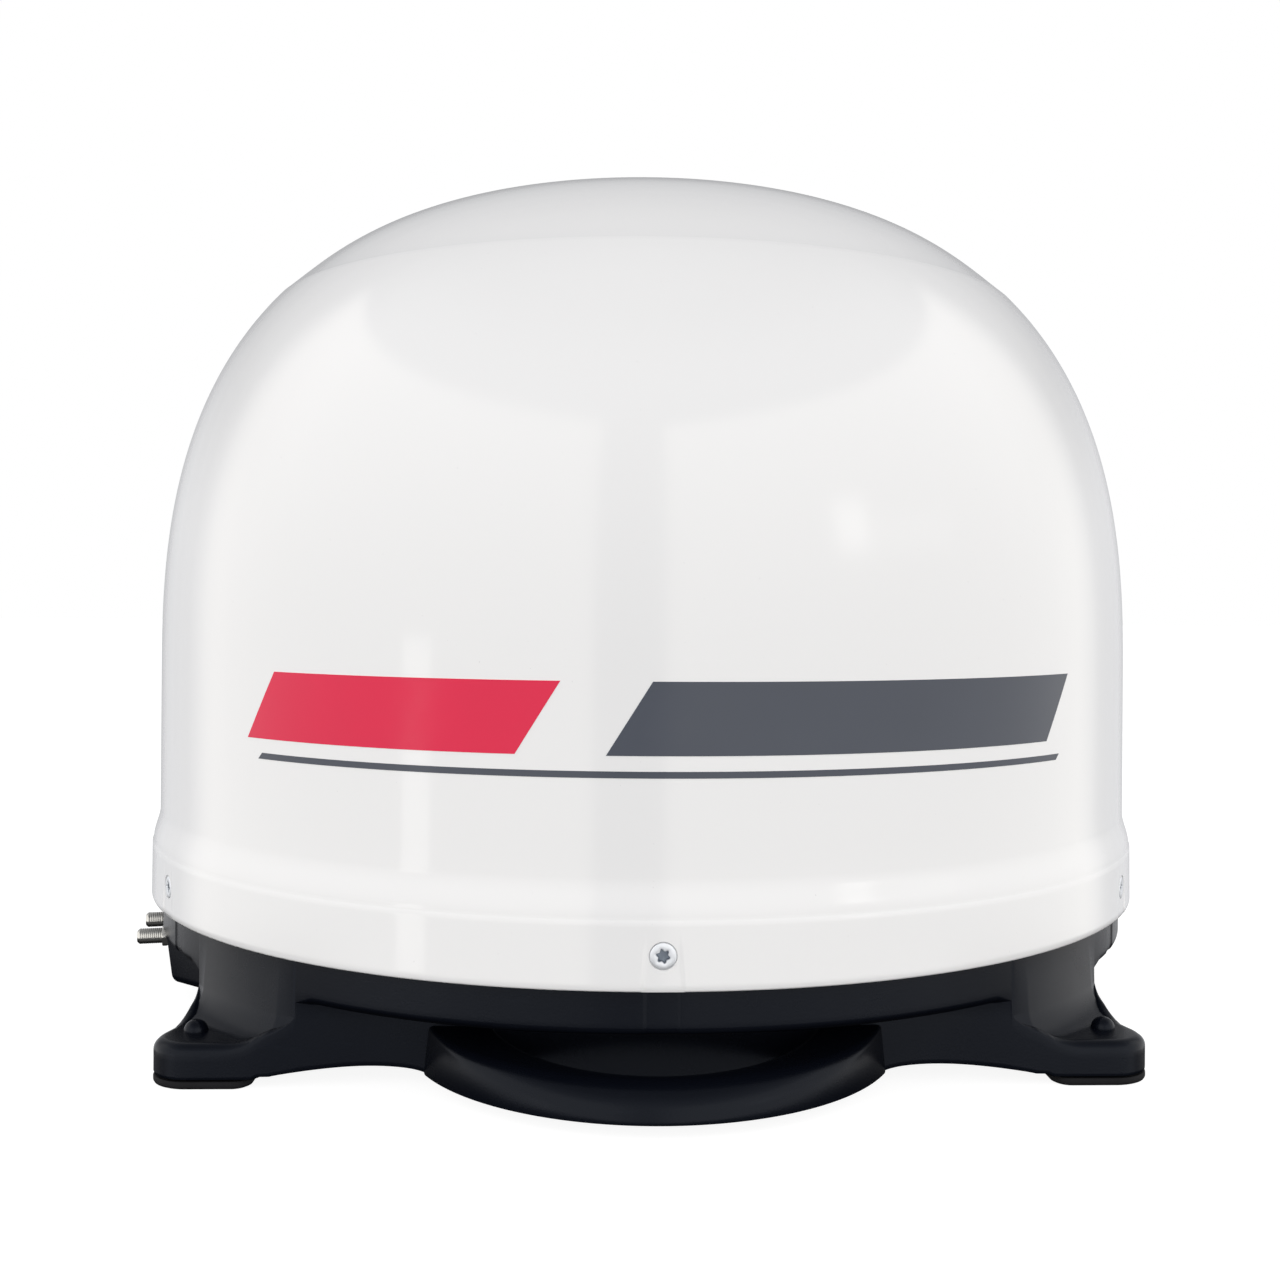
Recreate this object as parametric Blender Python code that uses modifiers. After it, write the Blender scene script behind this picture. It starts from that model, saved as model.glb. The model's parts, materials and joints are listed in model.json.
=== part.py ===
"""Portable dome antenna: a small steered dish on a geared turntable, under a round radome on a moulded base.

Metres, +Z up. The carry handle points to -Y and the two coax sockets point to -X. The origin is on the ground,
under the middle of the bounding box. Everything is modelled about the dome's axis, and the assembly's empty
sets that axis beside the origin.
"""

import math

import bmesh
import bpy
from mathutils import Matrix, Vector

# Driving dimensions
SKIRT_R = 0.216  # outer radius of the radome's skirt
SKIRT_Z = 0.0455  # lower edge of the skirt above the ground
WALL = 0.003  # moulded wall thickness
GAP = 0.0003  # space left between touching pieces

# Radome
LIP_H = 0.106 * SKIRT_R  # top of the straight skirt
FLARE_H = 0.165 * SKIRT_R  # where the flare above the skirt meets the dome
DOME_R = 0.985 * SKIRT_R
DOME_Z = SKIRT_Z + 0.430 * SKIRT_R  # the dome is upright below this height
DOME_H = 0.970 * SKIRT_R
DOME_POWERS = (2 / 2.77, 2 / 2.57)  # superellipse exponents, across and up
SCREW_COUNT = 6
SCREW_Z = SKIRT_Z + 0.053 * SKIRT_R
SCREW_HEAD_R = 0.0043
SCREW_SHANK_R = 0.0020

# Base
RIM_R = 0.979 * SKIRT_R
RIM_TOP = SKIRT_Z + 0.020
RIM_BOTTOM = SKIRT_Z - 0.015
FLOOR_BOTTOM = 0.0335
FLOOR_TOP = FLOOR_BOTTOM + WALL
TUB_X = 0.785 * SKIRT_R
TUB_Y = 0.784 * SKIRT_R
DEEP = -0.010  # solids that end at the tub's lower edge reach down to here before they are cut off level
TUB_BOTTOM = 0.0037
FOOT_OUT = 0.815 * SKIRT_R
FOOT_IN = 0.650 * SKIRT_R
FOOT_TOP = 0.0155
FOOT_ROUND = 0.016
PEG_X = 0.755 * SKIRT_R
PEG_Y = 0.720 * SKIRT_R
PEG_R = 0.0030
HANDLE_TOP = 0.0160
HANDLE_REACH = 0.236 * SKIRT_R
HANDLE_HALF = 0.370 * SKIRT_R
OPENING_REACH = 0.150 * SKIRT_R
OPENING_HALF = 0.255 * SKIRT_R
FLOOR_HOLE_R = 0.0090

# Sockets and control board, on the -X side, turned together a little towards the handle
BOX_TURN = math.radians(10.8)
BOX_BOTTOM = SKIRT_Z - 0.175 * SKIRT_R
BOX_FACE = 0.2085  # distance of the socket panel from the axis
SOCKET_Z = SKIRT_Z - 0.091 * SKIRT_R
SOCKET_Y = 0.0158
SOCKET_R = 0.0032
SOCKET_REACH = 0.2211  # distance of the sockets' tips from the axis, along the panel's normal
NUT_R = 0.0046
BOARD_Z = 0.0405
BOARD_LOW = (-0.170, -0.045)
BOARD_HIGH = (-0.105, 0.045)
CABLE_R = 0.0016

# The dome's axis stands off the middle of the bounding box, where the origin is
TIP_X = SOCKET_REACH * math.cos(BOX_TURN) + (SOCKET_Y + SOCKET_R) * math.sin(BOX_TURN)
AXIS_X = (TIP_X - SKIRT_R) / 2
AXIS_Y = (TUB_Y + HANDLE_REACH - SKIRT_R) / 2

# Azimuth drive
MODULE = 0.0015
RING_TEETH = 60
AZIMUTH_TEETH = 12
MESH_CLEARANCE = 0.0003
AZIMUTH_CENTRES = MODULE * (RING_TEETH + AZIMUTH_TEETH) / 2 + MESH_CLEARANCE
SPINDLE_R = 0.0120
HUB_R = 0.0210
GEAR_BOTTOM = FLOOR_TOP + GAP
GEAR_FACE = 0.0060
FLANGE_TOP = GEAR_BOTTOM + 0.0030  # the spindle's flange, inside the ring gear
WASHER_TOP = FLANGE_TOP + GAP + 0.0015
HUB_BOTTOM = WASHER_TOP + GAP
HUB_TOP = 0.0600
SPINDLE_TOP = 0.0660
TABLE_R = 0.1370
TABLE_BOTTOM = 0.0550
TABLE_TOP = TABLE_BOTTOM + WALL
SHAFT_R = 0.0025
SHAFT_HOLE_R = 0.0031
SHAFT_TOP = 0.0700
MOTOR_R = 0.0180

# Elevation drive
REST_ELEVATION = math.radians(40)
PIVOT_Z = 0.186
SECTOR_TEETH = 80
SECTOR_HALF_TEETH = 8
ELEVATION_TEETH = 16
ELEVATION_CENTRES = MODULE * (SECTOR_TEETH + ELEVATION_TEETH) / 2 + MESH_CLEARANCE
PINION_Z = PIVOT_Z - ELEVATION_CENTRES
UPRIGHT_X = 0.105
UPRIGHT_T = 0.004
SECTOR_X = 0.098
EAR_X = 0.0935
EAR_T = 0.004
PIN_R = 0.0040
PIN_HOLE_R = 0.0043

# Reflector, in its own frame: x across, y up the dish, z along the beam, origin on the elevation axis
FOCAL = 0.095
DISH_HALF_WIDTH = 0.165
DISH_HALF_HEIGHT = 0.125
DISH_T = 0.0018
DISH_Z = -0.010
TUBE_R = 0.0110
BAR_Z = -0.028
BAR_T = 0.004
BOLT_RING_R = 0.0175
BOLT_R = 0.0015

TURN = 2 * math.pi
ALONG_X = Matrix(((0, 0, 1), (1, 0, 0), (0, 1, 0))).to_4x4()  # local z becomes x, local x becomes y


def clear_scene():
    for ob in list(bpy.data.objects):
        bpy.data.objects.remove(ob, do_unlink=True)


def new_collection(name):
    collection = bpy.data.collections.new(name)
    bpy.context.scene.collection.children.link(collection)
    return collection


def new_material(name, colour, roughness, metallic=0.0):
    material = bpy.data.materials.new(name)
    material.use_nodes = True
    shader = material.node_tree.nodes["Principled BSDF"]
    shader.inputs["Base Color"].default_value = (*colour, 1)
    shader.inputs["Roughness"].default_value = roughness
    shader.inputs["Metallic"].default_value = metallic
    material.diffuse_color = (*colour, 1)
    return material


# ---- shapes -------------------------------------------------------------------------------------------------


def object_from(bm, name, place=None):
    """An object that holds bm, in the cutters' collection until it is finished as a part."""
    mesh = bpy.data.meshes.new(name)
    if place is not None:
        bm.transform(place)
    bm.to_mesh(mesh)
    bm.free()
    ob = bpy.data.objects.new(name, mesh)
    CUTTERS.objects.link(ob)
    ob.hide_render = True
    ob.display_type = "WIRE"
    return ob


def box(name, low, high, place=None):
    low, high = Vector(low), Vector(high)
    bm = bmesh.new()
    bmesh.ops.create_cube(bm, size=1)
    middle = Matrix.Translation((low + high) / 2)
    bm.transform(middle @ Matrix.Diagonal((*(high - low), 1)))
    return object_from(bm, name, place)


def cone(name, radius, top_radius, low, high, segments=24, place=None):
    """A cone or cylinder about z, from low to high."""
    bm = bmesh.new()
    bmesh.ops.create_cone(
        bm, cap_ends=True, segments=segments, radius1=radius, radius2=top_radius, depth=high - low
    )
    bm.transform(Matrix.Translation((0, 0, (low + high) / 2)))
    return object_from(bm, name, place)


def cylinder(name, radius, low, high, segments=24, place=None):
    return cone(name, radius, radius, low, high, segments, place)


def turned(name, profile, steps=32, closed=True, place=None):
    """A profile of (radius, height) points turned about z. Its outer side runs downwards."""
    bm = bmesh.new()
    points = [bm.verts.new((radius, 0, height)) for radius, height in profile]
    for first, second in zip(points, points[1:]):
        bm.edges.new((first, second))
    if closed:
        bm.edges.new((points[-1], points[0]))
    ob = object_from(bm, name)
    screw = ob.modifiers.new("turn", "SCREW")
    screw.steps = steps
    screw.render_steps = steps
    screw.use_merge_vertices = True
    screw.merge_threshold = 0.00001
    return as_mesh(ob, name, place)


def as_mesh(source, name, place=None):
    """A mesh object with the evaluated shape of source, which is removed."""
    bpy.context.view_layer.update()
    seen = source.evaluated_get(bpy.context.evaluated_depsgraph_get())
    mesh = bpy.data.meshes.new_from_object(seen)
    bm = bmesh.new()
    bm.from_mesh(mesh)
    bm.transform(source.matrix_world)
    bmesh.ops.remove_doubles(bm, verts=bm.verts, dist=0.00001)
    bpy.data.objects.remove(source, do_unlink=True)
    return object_from(bm, name, place)


def plate(name, outline, low, high, place=None):
    """A flat outline of (x, y) points, from low to high along z."""
    curve = bpy.data.curves.new(name, "CURVE")
    curve.dimensions = "2D"
    curve.fill_mode = "BOTH"
    curve.extrude = (high - low) / 2
    spline = curve.splines.new("POLY")
    spline.points.add(len(outline) - 1)
    for point, (x, y) in zip(spline.points, outline):
        point.co = (x, y, 0, 1)
    spline.use_cyclic_u = True
    ob = bpy.data.objects.new(name, curve)
    ob.location.z = (low + high) / 2
    CUTTERS.objects.link(ob)
    return as_mesh(ob, name, place)


def wire(name, path, radius):
    """A round cable along path."""
    curve = bpy.data.curves.new(name, "CURVE")
    curve.dimensions = "3D"
    curve.bevel_depth = radius
    curve.bevel_resolution = 2
    curve.use_fill_caps = True
    spline = curve.splines.new("POLY")
    spline.points.add(len(path) - 1)
    for point, place in zip(spline.points, path):
        point.co = (*place, 1)
    ob = bpy.data.objects.new(name, curve)
    CUTTERS.objects.link(ob)
    return as_mesh(ob, name)


def arc(radius, start, end, count, centre=(0, 0)):
    """count points on an arc, both ends included."""
    angles = [start + (end - start) * i / (count - 1) for i in range(count)]
    return [(centre[0] + radius * math.cos(a), centre[1] + radius * math.sin(a)) for a in angles]


def rounded_rectangle(low, high, radius, count=5):
    corners = (
        (high[0] - radius, high[1] - radius, 0),
        (low[0] + radius, high[1] - radius, 1),
        (low[0] + radius, low[1] + radius, 2),
        (high[0] - radius, low[1] + radius, 3),
    )
    quarter = TURN / 4
    return [
        point
        for x, y, turn in corners
        for point in arc(radius, turn * quarter, (turn + 1) * quarter, count, (x, y))
    ]


def tooth(teeth, angle):
    """The four corners of one gear tooth that points along angle."""
    pitch_r = MODULE * teeth / 2
    corners = ((-1.25, 1.10), (0.95, 0.33), (0.95, -0.33), (-1.25, -1.10))
    return [
        ((pitch_r + rise * MODULE), angle - half * MODULE / (pitch_r + rise * MODULE))
        for rise, half in corners
    ]


def gear_outline(teeth, first=0.0):
    points = [p for i in range(teeth) for p in tooth(teeth, first + TURN * i / teeth)]
    return [(r * math.cos(a), r * math.sin(a)) for r, a in points]


def combine(ob, other, operation):
    """Joins other to ob, cuts it from ob, or keeps what they share."""
    boolean = ob.modifiers.new(other.name, "BOOLEAN")
    boolean.operation = operation
    boolean.object = other
    boolean.solver = "EXACT"
    return ob


def join(ob, *others):
    for other in others:
        combine(ob, other, "UNION")
    return ob


def cut(ob, *others):
    for other in others:
        combine(ob, other, "DIFFERENCE")
    return ob


def part(ob, material, parent=None):
    """Finishes ob as a named part of the object."""
    bpy.context.view_layer.update()
    seen = ob.evaluated_get(bpy.context.evaluated_depsgraph_get())
    mesh = bpy.data.meshes.new_from_object(seen)
    mesh.name = ob.name
    ob.modifiers.clear()
    ob.data = mesh
    mesh.materials.clear()
    mesh.materials.append(material)
    mesh.shade_smooth()
    mesh.set_sharp_from_angle(angle=math.radians(35))
    CUTTERS.objects.unlink(ob)
    PARTS.objects.link(ob)
    ob.hide_render = False
    ob.display_type = "TEXTURED"
    ob.parent = parent or ASSEMBLY
    return ob


def axis_empty(name, location, rotation=(0, 0, 0), parent=None):
    empty = bpy.data.objects.new(name, None)
    empty.location = location
    empty.rotation_euler = rotation
    empty.parent = parent
    empty.empty_display_size = 0.03
    PARTS.objects.link(empty)
    return empty


def turned_about_z(angle, location=(0, 0, 0)):
    return Matrix.Rotation(angle, 4, "Z") @ Matrix.Translation(location)


def screw_angles():
    return [-TURN / 4 + TURN * i / SCREW_COUNT for i in range(SCREW_COUNT)]


def outward(angle, radius, height):
    """A frame on a circle round the axis whose z points away from the axis."""
    return turned_about_z(angle, (radius, 0, height)) @ Matrix.Rotation(TURN / 4, 4, "Y")


# ---- base ---------------------------------------------------------------------------------------------------


def base_pan():
    """The round floor with the rim that fits inside the radome's skirt."""
    inner = RIM_R - WALL
    profile = [
        (RIM_R, RIM_TOP),
        (RIM_R, RIM_BOTTOM),
        (inner, RIM_BOTTOM),
        (inner, FLOOR_BOTTOM),
        (FLOOR_HOLE_R, FLOOR_BOTTOM),
        (FLOOR_HOLE_R, FLOOR_TOP),
        (inner, FLOOR_TOP),
        (inner, RIM_TOP),
    ]
    return turned("base_chassis", profile, steps=48)


def tub_block(name, inset, low, high):
    """The square tub under the floor, its corners cut round by the rim."""
    half_x, half_y = TUB_X - inset, TUB_Y - inset
    block = box(name, (-half_x, -half_y, low), (half_x, half_y, high))
    disc = cylinder(f"{name}_round", RIM_R - 0.0005 - inset, low - 0.01, high + 0.01, 64)
    return combine(block, disc, "INTERSECT")


def foot_block(name, sign_x, sign_y, inset, low, high):
    near, far = FOOT_IN + inset, FOOT_OUT - inset
    xs = sorted((sign_x * near, sign_x * far))
    ys = sorted((sign_y * near, sign_y * far))
    outline = rounded_rectangle((xs[0], ys[0]), (xs[1], ys[1]), FOOT_ROUND - inset)
    return plate(name, outline, low, high)


def corners():
    return [
        ("front_left", -1, -1),
        ("front_right", 1, -1),
        ("rear_left", -1, 1),
        ("rear_right", 1, 1),
    ]


def handle_arc(name, half, reach, low, high):
    """A round disc that stands out from the front wall by reach, over a chord of half on each side."""
    radius = (half**2 + reach**2) / (2 * reach)
    place = Matrix.Translation((0, -TUB_Y - reach + radius, 0))
    return cylinder(name, radius, low, high, 64, place)


def handle():
    bar = handle_arc("handle_bar", HANDLE_HALF, HANDLE_REACH, DEEP, HANDLE_TOP)
    cut(bar, handle_arc("handle_opening", OPENING_HALF, OPENING_REACH, 2 * DEEP, HANDLE_TOP + 0.01))
    return cut(bar, box("handle_back", (-1, -TUB_Y + 0.0015, -1), (1, 1, 1)))


def beside_sockets(y=0.0, height=0.0):
    """The frame of the socket box, whose -x is the panel's normal."""
    return turned_about_z(BOX_TURN, (0, y, height))


def socket_box(name, inset, low, high):
    """The box below the rim that carries the two coax sockets."""
    side = [
        (-BOX_FACE + inset, 0.0240),
        (-0.1945 + inset, 0.0378 - inset / 2),
        (-0.1860 + inset / 2, 0.0500 - inset),
        (-0.1500, 0.0540 - inset),
    ]
    outline = side[::-1] + [(x, -y) for x, y in side]
    return plate(name, outline, low, high, beside_sockets())


def base_chassis(material):
    """One moulding. Its solids end at different depths until they are all cut off level."""
    chassis = base_pan()
    join(chassis, tub_block("tub", 0, DEEP + 0.002, FLOOR_BOTTOM + WALL / 2))
    join(chassis, socket_box("socket_box", 0, BOX_BOTTOM, FLOOR_BOTTOM + WALL / 2))
    for name, sign_x, sign_y in corners():
        join(chassis, foot_block(f"foot_{name}", sign_x, sign_y, 0, DEEP + 0.001, FOOT_TOP))
    join(chassis, handle())
    cut(chassis, box("below_base", (-0.3, -0.3, -0.1), (0.3, 0.3, TUB_BOTTOM)))
    for x, y in board_posts():
        place = turned_about_z(BOX_TURN, (x, y, 0))
        join(chassis, cylinder("board_post", 0.0030, FLOOR_TOP - 0.001, BOARD_Z - GAP, 12, place))
    hollow = tub_block("tub_inside", WALL, DEEP, FLOOR_BOTTOM - GAP)
    for name, sign_x, sign_y in corners():
        join(hollow, foot_block(f"foot_{name}_inside", sign_x, sign_y, WALL, 1.2 * DEEP, FOOT_TOP - WALL))
    cut(chassis, hollow)
    cut(chassis, socket_box("socket_box_inside", WALL, BOX_BOTTOM + WALL, FLOOR_BOTTOM - GAP))
    for _, sign_x, sign_y in corners():
        place = Matrix.Translation((sign_x * PEG_X, sign_y * PEG_Y, 0))
        cut(chassis, cylinder("peg_hole", PEG_R + GAP, 0, FOOT_TOP + 0.01, 16, place))
    for side in (-1, 1):
        place = beside_sockets(side * SOCKET_Y, SOCKET_Z) @ ALONG_X
        cut(chassis, cylinder("socket_hole", SOCKET_R + GAP, -BOX_FACE - 0.01, -BOX_FACE + 0.01, 16, place))
    cut(chassis, box("jumper_hole", (-0.186, -0.020, 0.030), (-0.174, 0.020, 0.040), beside_sockets()))
    for angle in screw_angles():
        low = (RIM_R - WALL - 0.002, -0.0028, SCREW_Z - 0.0028)
        high = (RIM_R + 0.002, 0.0028, RIM_TOP + 0.01)
        cut(chassis, box("screw_slot", low, high, turned_about_z(angle)))
    return part(chassis, material)


def foot_pad(name, sign_x, sign_y, material):
    """A rubber pad with a push-in peg, whose round tip shows on top of the foot."""
    pad = foot_block(f"foot_pad_{name}", sign_x, sign_y, -0.0005, 0, TUB_BOTTOM - GAP)
    place = Matrix.Translation((sign_x * PEG_X, sign_y * PEG_Y, 0))
    peg = cylinder("peg", PEG_R, TUB_BOTTOM - 0.001, FOOT_TOP + 0.0015, 16, place)
    tip = cone("peg_tip", 0.0042, 0.0022, FOOT_TOP + GAP, FOOT_TOP + 0.0042, 16, place)
    return part(join(pad, peg, tip), material)


def coax_socket(number, side, metal):
    place = beside_sockets(side * SOCKET_Y, SOCKET_Z) @ ALONG_X
    inner = -BOX_FACE + WALL + GAP
    socket = cylinder(f"coax_socket_{number}", SOCKET_R, -SOCKET_REACH, inner + 0.006, 24, place)
    join(socket, cylinder("socket_body", NUT_R, inner, inner + 0.0105, 6, place))
    cut(socket, cylinder("socket_bore", 0.0012, -SOCKET_REACH - 0.01, -SOCKET_REACH + 0.008, 12, place))
    return part(socket, metal)


def socket_nut(number, side, metal):
    place = beside_sockets(side * SOCKET_Y, SOCKET_Z) @ ALONG_X
    nut = cylinder(f"socket_nut_{number}", NUT_R, -BOX_FACE - GAP - 0.0022, -BOX_FACE - GAP, 6, place)
    return part(cut(nut, cylinder("nut_bore", SOCKET_R + GAP, -1, 1, 24, place)), metal)


def board_posts():
    inset = 0.005
    xs = (BOARD_LOW[0] + inset, BOARD_HIGH[0] - inset)
    ys = (BOARD_LOW[1] + inset, BOARD_HIGH[1] - inset)
    return [(x, y) for x in xs for y in ys]


def control_board(material):
    top = BOARD_Z + 0.0016
    place = beside_sockets()
    board = box("control_board", (*BOARD_LOW, BOARD_Z), (*BOARD_HIGH, top), place)
    join(board, box("processor", (-0.142, -0.010, top - 0.0005), (-0.122, 0.010, top + 0.0020), place))
    join(board, box("tuner_can", (-0.150, -0.040, top - 0.0005), (-0.122, -0.018, top + 0.0050), place))
    join(board, box("relay", (-0.140, 0.020, top - 0.0005), (-0.120, 0.032, top + 0.0060), place))
    for side in (-1, 1):
        low = (BOARD_LOW[0] + 0.001, side * SOCKET_Y - 0.005, top - 0.0005)
        high = (low[0] + 0.012, low[1] + 0.010, top + 0.0070)
        join(board, box("board_socket", low, high, place))
    return part(board, material)


def coax_jumper(number, side, material):
    """The short cable from a coax socket up through the floor to the board."""
    start = -BOX_FACE + WALL + GAP + 0.0110
    path = [
        (start, SOCKET_Z),
        (-0.1860, SOCKET_Z),
        (-0.1810, SOCKET_Z + 0.002),
        (-0.1800, SOCKET_Z + 0.006),
        (-0.1800, BOARD_Z),
        (-0.1790, BOARD_Z + 0.0035),
        (-0.1760, BOARD_Z + 0.0050),
        (BOARD_LOW[0] + GAP, BOARD_Z + 0.0050),
    ]
    place = beside_sockets(side * SOCKET_Y)
    points = [place @ Vector((x, 0, height)) for x, height in path]
    return part(wire(f"coax_jumper_{number}", points, CABLE_R), material)


def azimuth_ring_gear(material):
    gear = plate("azimuth_ring_gear", gear_outline(RING_TEETH), GEAR_BOTTOM, GEAR_BOTTOM + GEAR_FACE)
    return part(cut(gear, cylinder("ring_bore", 0.030, 0, 0.1, 32)), material)


def azimuth_spindle(metal):
    flange_r, bore = 0.0220, 0.0080
    profile = [
        (SPINDLE_R, SPINDLE_TOP),
        (SPINDLE_R, FLANGE_TOP),
        (flange_r, FLANGE_TOP),
        (flange_r, GEAR_BOTTOM),
        (bore, GEAR_BOTTOM),
        (bore, SPINDLE_TOP),
    ]
    return part(turned("azimuth_spindle", profile), metal)


def ring(name, outer, inner, low, high, steps=32, place=None):
    profile = [(outer, high), (outer, low), (inner, low), (inner, high)]
    return turned(name, profile, steps, place=place)


def build_base(plastic, rubber, nickel, steel, green, cable, nylon):
    base_chassis(plastic)
    for name, sign_x, sign_y in corners():
        foot_pad(name, sign_x, sign_y, rubber)
    for number, side in ((1, -1), (2, 1)):
        coax_socket(number, side, nickel)
        socket_nut(number, side, nickel)
        coax_jumper(number, side, cable)
    control_board(green)
    azimuth_ring_gear(nylon)
    azimuth_spindle(steel)
    part(ring("thrust_washer", HUB_R - 0.0005, SPINDLE_R + 2 * GAP, FLANGE_TOP + GAP, WASHER_TOP), nylon)
    nut = cylinder("spindle_nut", 0.0190, HUB_TOP + GAP, HUB_TOP + 0.0044, 6)
    part(cut(nut, cylinder("spindle_nut_bore", SPINDLE_R + GAP, 0, 1, 32)), steel)


# ---- turntable ----------------------------------------------------------------------------------------------


def upright_screw_places():
    return [(side * 0.119, y) for side in (-1, 1) for y in (-0.022, 0.022)]


def turntable_plate(material, parent):
    bore = SPINDLE_R + GAP
    profile = [
        (HUB_R, HUB_TOP),
        (HUB_R, TABLE_TOP),
        (TABLE_R, TABLE_TOP),
        (TABLE_R, TABLE_BOTTOM - 0.003),
        (TABLE_R - 0.002, TABLE_BOTTOM - 0.003),
        (TABLE_R - 0.002, TABLE_BOTTOM),
        (HUB_R, TABLE_BOTTOM),
        (HUB_R, HUB_BOTTOM),
        (bore, HUB_BOTTOM),
        (bore, HUB_TOP),
    ]
    table = turned("turntable_plate", profile, steps=32)
    place = Matrix.Translation((0, AZIMUTH_CENTRES, 0))
    cut(table, cylinder("pinion_hole", SHAFT_HOLE_R, 0, 1, 16, place))
    for x, y in upright_screw_places():
        cut(table, cylinder("table_hole", 0.0022, 0, 1, 12, Matrix.Translation((x, y, 0))))
    return part(table, material, parent)


def upright(name, side, material, parent):
    """A tapered side plate with a foot that points outwards."""
    foot = TABLE_TOP + GAP
    top = arc(0.013, math.radians(-12), math.radians(192), 13, (0, PIVOT_Z))
    outline = [(-0.035, foot), (0.035, foot)] + top
    xs = sorted((side * UPRIGHT_X, side * (UPRIGHT_X + UPRIGHT_T)))
    plate_ob = plate(name, outline, xs[0], xs[1], ALONG_X)
    flange_xs = sorted((side * (UPRIGHT_X + UPRIGHT_T / 2), side * 0.1285))
    flange_low = (flange_xs[0], -0.0345, foot + 0.00005)
    join(plate_ob, box("flange", flange_low, (flange_xs[1], 0.0345, foot + WALL)))
    window = arc(0.010, 0, TURN * 23 / 24, 24, (0, 0.0835))
    cut(plate_ob, plate("window", window, xs[0] - 0.01, xs[1] + 0.01, ALONG_X))
    hole_place = Matrix.Translation((0, 0, PIVOT_Z)) @ ALONG_X
    cut(plate_ob, cylinder("pivot_hole", PIN_HOLE_R, -1, 1, 24, hole_place))
    if side < 0:
        shaft_place = Matrix.Translation((0, 0, PINION_Z)) @ ALONG_X
        cut(plate_ob, cylinder("shaft_hole", SHAFT_HOLE_R, -1, 1, 16, shaft_place))
    for x, y in upright_screw_places():
        if x * side > 0:
            cut(plate_ob, cylinder("flange_hole", 0.0022, 0, 0.08, 12, Matrix.Translation((x, y, 0))))
    return part(plate_ob, material, parent)


def upright_screw(number, x, y, metal, parent):
    head = TABLE_TOP + 2 * GAP + WALL
    place = Matrix.Translation((x, y, 0))
    screw = cylinder(f"upright_screw_{number}", 0.0036, head, head + 0.0024, 16, place)
    join(screw, cylinder("shank", 0.0018, TABLE_BOTTOM - 0.004, head + 0.001, 12, place))
    cut(screw, cylinder("hex_socket", 0.0016, head + 0.0012, head + 0.01, 6, place))
    return part(screw, metal, parent)


def azimuth_motor(metal, parent):
    """The upright gear motor on the turntable, with a bore for the pinion's shaft."""
    low = TABLE_TOP + GAP
    place = Matrix.Translation((0, AZIMUTH_CENTRES, 0))
    motor = cylinder("azimuth_motor", MOTOR_R, low, low + 0.034, 32, place)
    flange = box("motor_flange", (-0.026, -0.010, low + 0.00005), (0.026, 0.010, low + 0.0030), place)
    join(motor, flange)
    cut(motor, cylinder("motor_bore", SHAFT_HOLE_R, 0, SHAFT_TOP + 0.003, 16, place))
    return part(motor, metal, parent)


def elevation_motor(metal, parent):
    """The gear motor on the outer face of the left upright."""
    face = -(UPRIGHT_X + UPRIGHT_T + GAP)
    place = Matrix.Translation((0, 0, PINION_Z)) @ ALONG_X
    motor = cylinder("elevation_motor", MOTOR_R, face - 0.034, face, 32, place)
    cut(motor, cylinder("motor_bore", SHAFT_HOLE_R, face - 0.014, face + 0.01, 16, place))
    return part(motor, metal, parent)


def pivot_bolt(name, side, metal, parent):
    """A shoulder bolt through an upright, on which the reflector frame turns."""
    place = Matrix.Translation((0, 0, PIVOT_Z)) @ ALONG_X
    head = UPRIGHT_X + UPRIGHT_T + GAP
    inner = EAR_X - 0.0015
    shank = sorted((side * inner, side * (head + 0.001)))
    cap = sorted((side * head, side * (head + 0.004)))
    bolt = cylinder(name, PIN_R, shank[0], shank[1], 24, place)
    return part(join(bolt, cylinder("bolt_head", 0.0070, cap[0], cap[1], 6, place)), metal, parent)


def build_turntable(zinc, steel, motor_metal, parent):
    turntable_plate(zinc, parent)
    upright("upright_left", -1, zinc, parent)
    upright("upright_right", 1, zinc, parent)
    for number, (x, y) in enumerate(upright_screw_places(), 1):
        upright_screw(number, x, y, steel, parent)
    azimuth_motor(motor_metal, parent)
    elevation_motor(motor_metal, parent)
    pivot_bolt("pivot_bolt_left", -1, steel, parent)
    pivot_bolt("pivot_bolt_right", 1, steel, parent)


def azimuth_pinion(material, parent):
    """Its gap faces the ring gear, which is towards -Y of its own axis."""
    half_tooth = TURN / AZIMUTH_TEETH / 2
    low = GEAR_BOTTOM + 0.0005
    outline = gear_outline(AZIMUTH_TEETH, -TURN / 4 + half_tooth)
    gear = plate("azimuth_pinion", outline, low, low + GEAR_FACE)
    join(gear, cylinder("pinion_shaft", SHAFT_R, low + 0.001, SHAFT_TOP, 16))
    return part(gear, material, parent)


def elevation_pinion(material, parent):
    """Its gap faces the sector gear above it."""
    half_tooth = TURN / ELEVATION_TEETH / 2
    outline = gear_outline(ELEVATION_TEETH, TURN / 4 + half_tooth)
    gear = plate("elevation_pinion", outline, -SECTOR_X - GEAR_FACE, -SECTOR_X, ALONG_X)
    shaft_end = -(UPRIGHT_X + UPRIGHT_T + 0.012)
    join(gear, cylinder("pinion_shaft", SHAFT_R, shaft_end, -SECTOR_X - 0.001, 16, ALONG_X))
    return part(gear, material, parent)


# ---- reflector ----------------------------------------------------------------------------------------------


def dish_height(radius):
    """Height of the dish's front surface along the beam, at radius from its centre."""
    return DISH_Z + radius**2 / (4 * FOCAL)


def bolt_places():
    return [arc(BOLT_RING_R, a, a, 2)[0] for a in (math.radians(45 + 90 * i) for i in range(4))]


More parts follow.
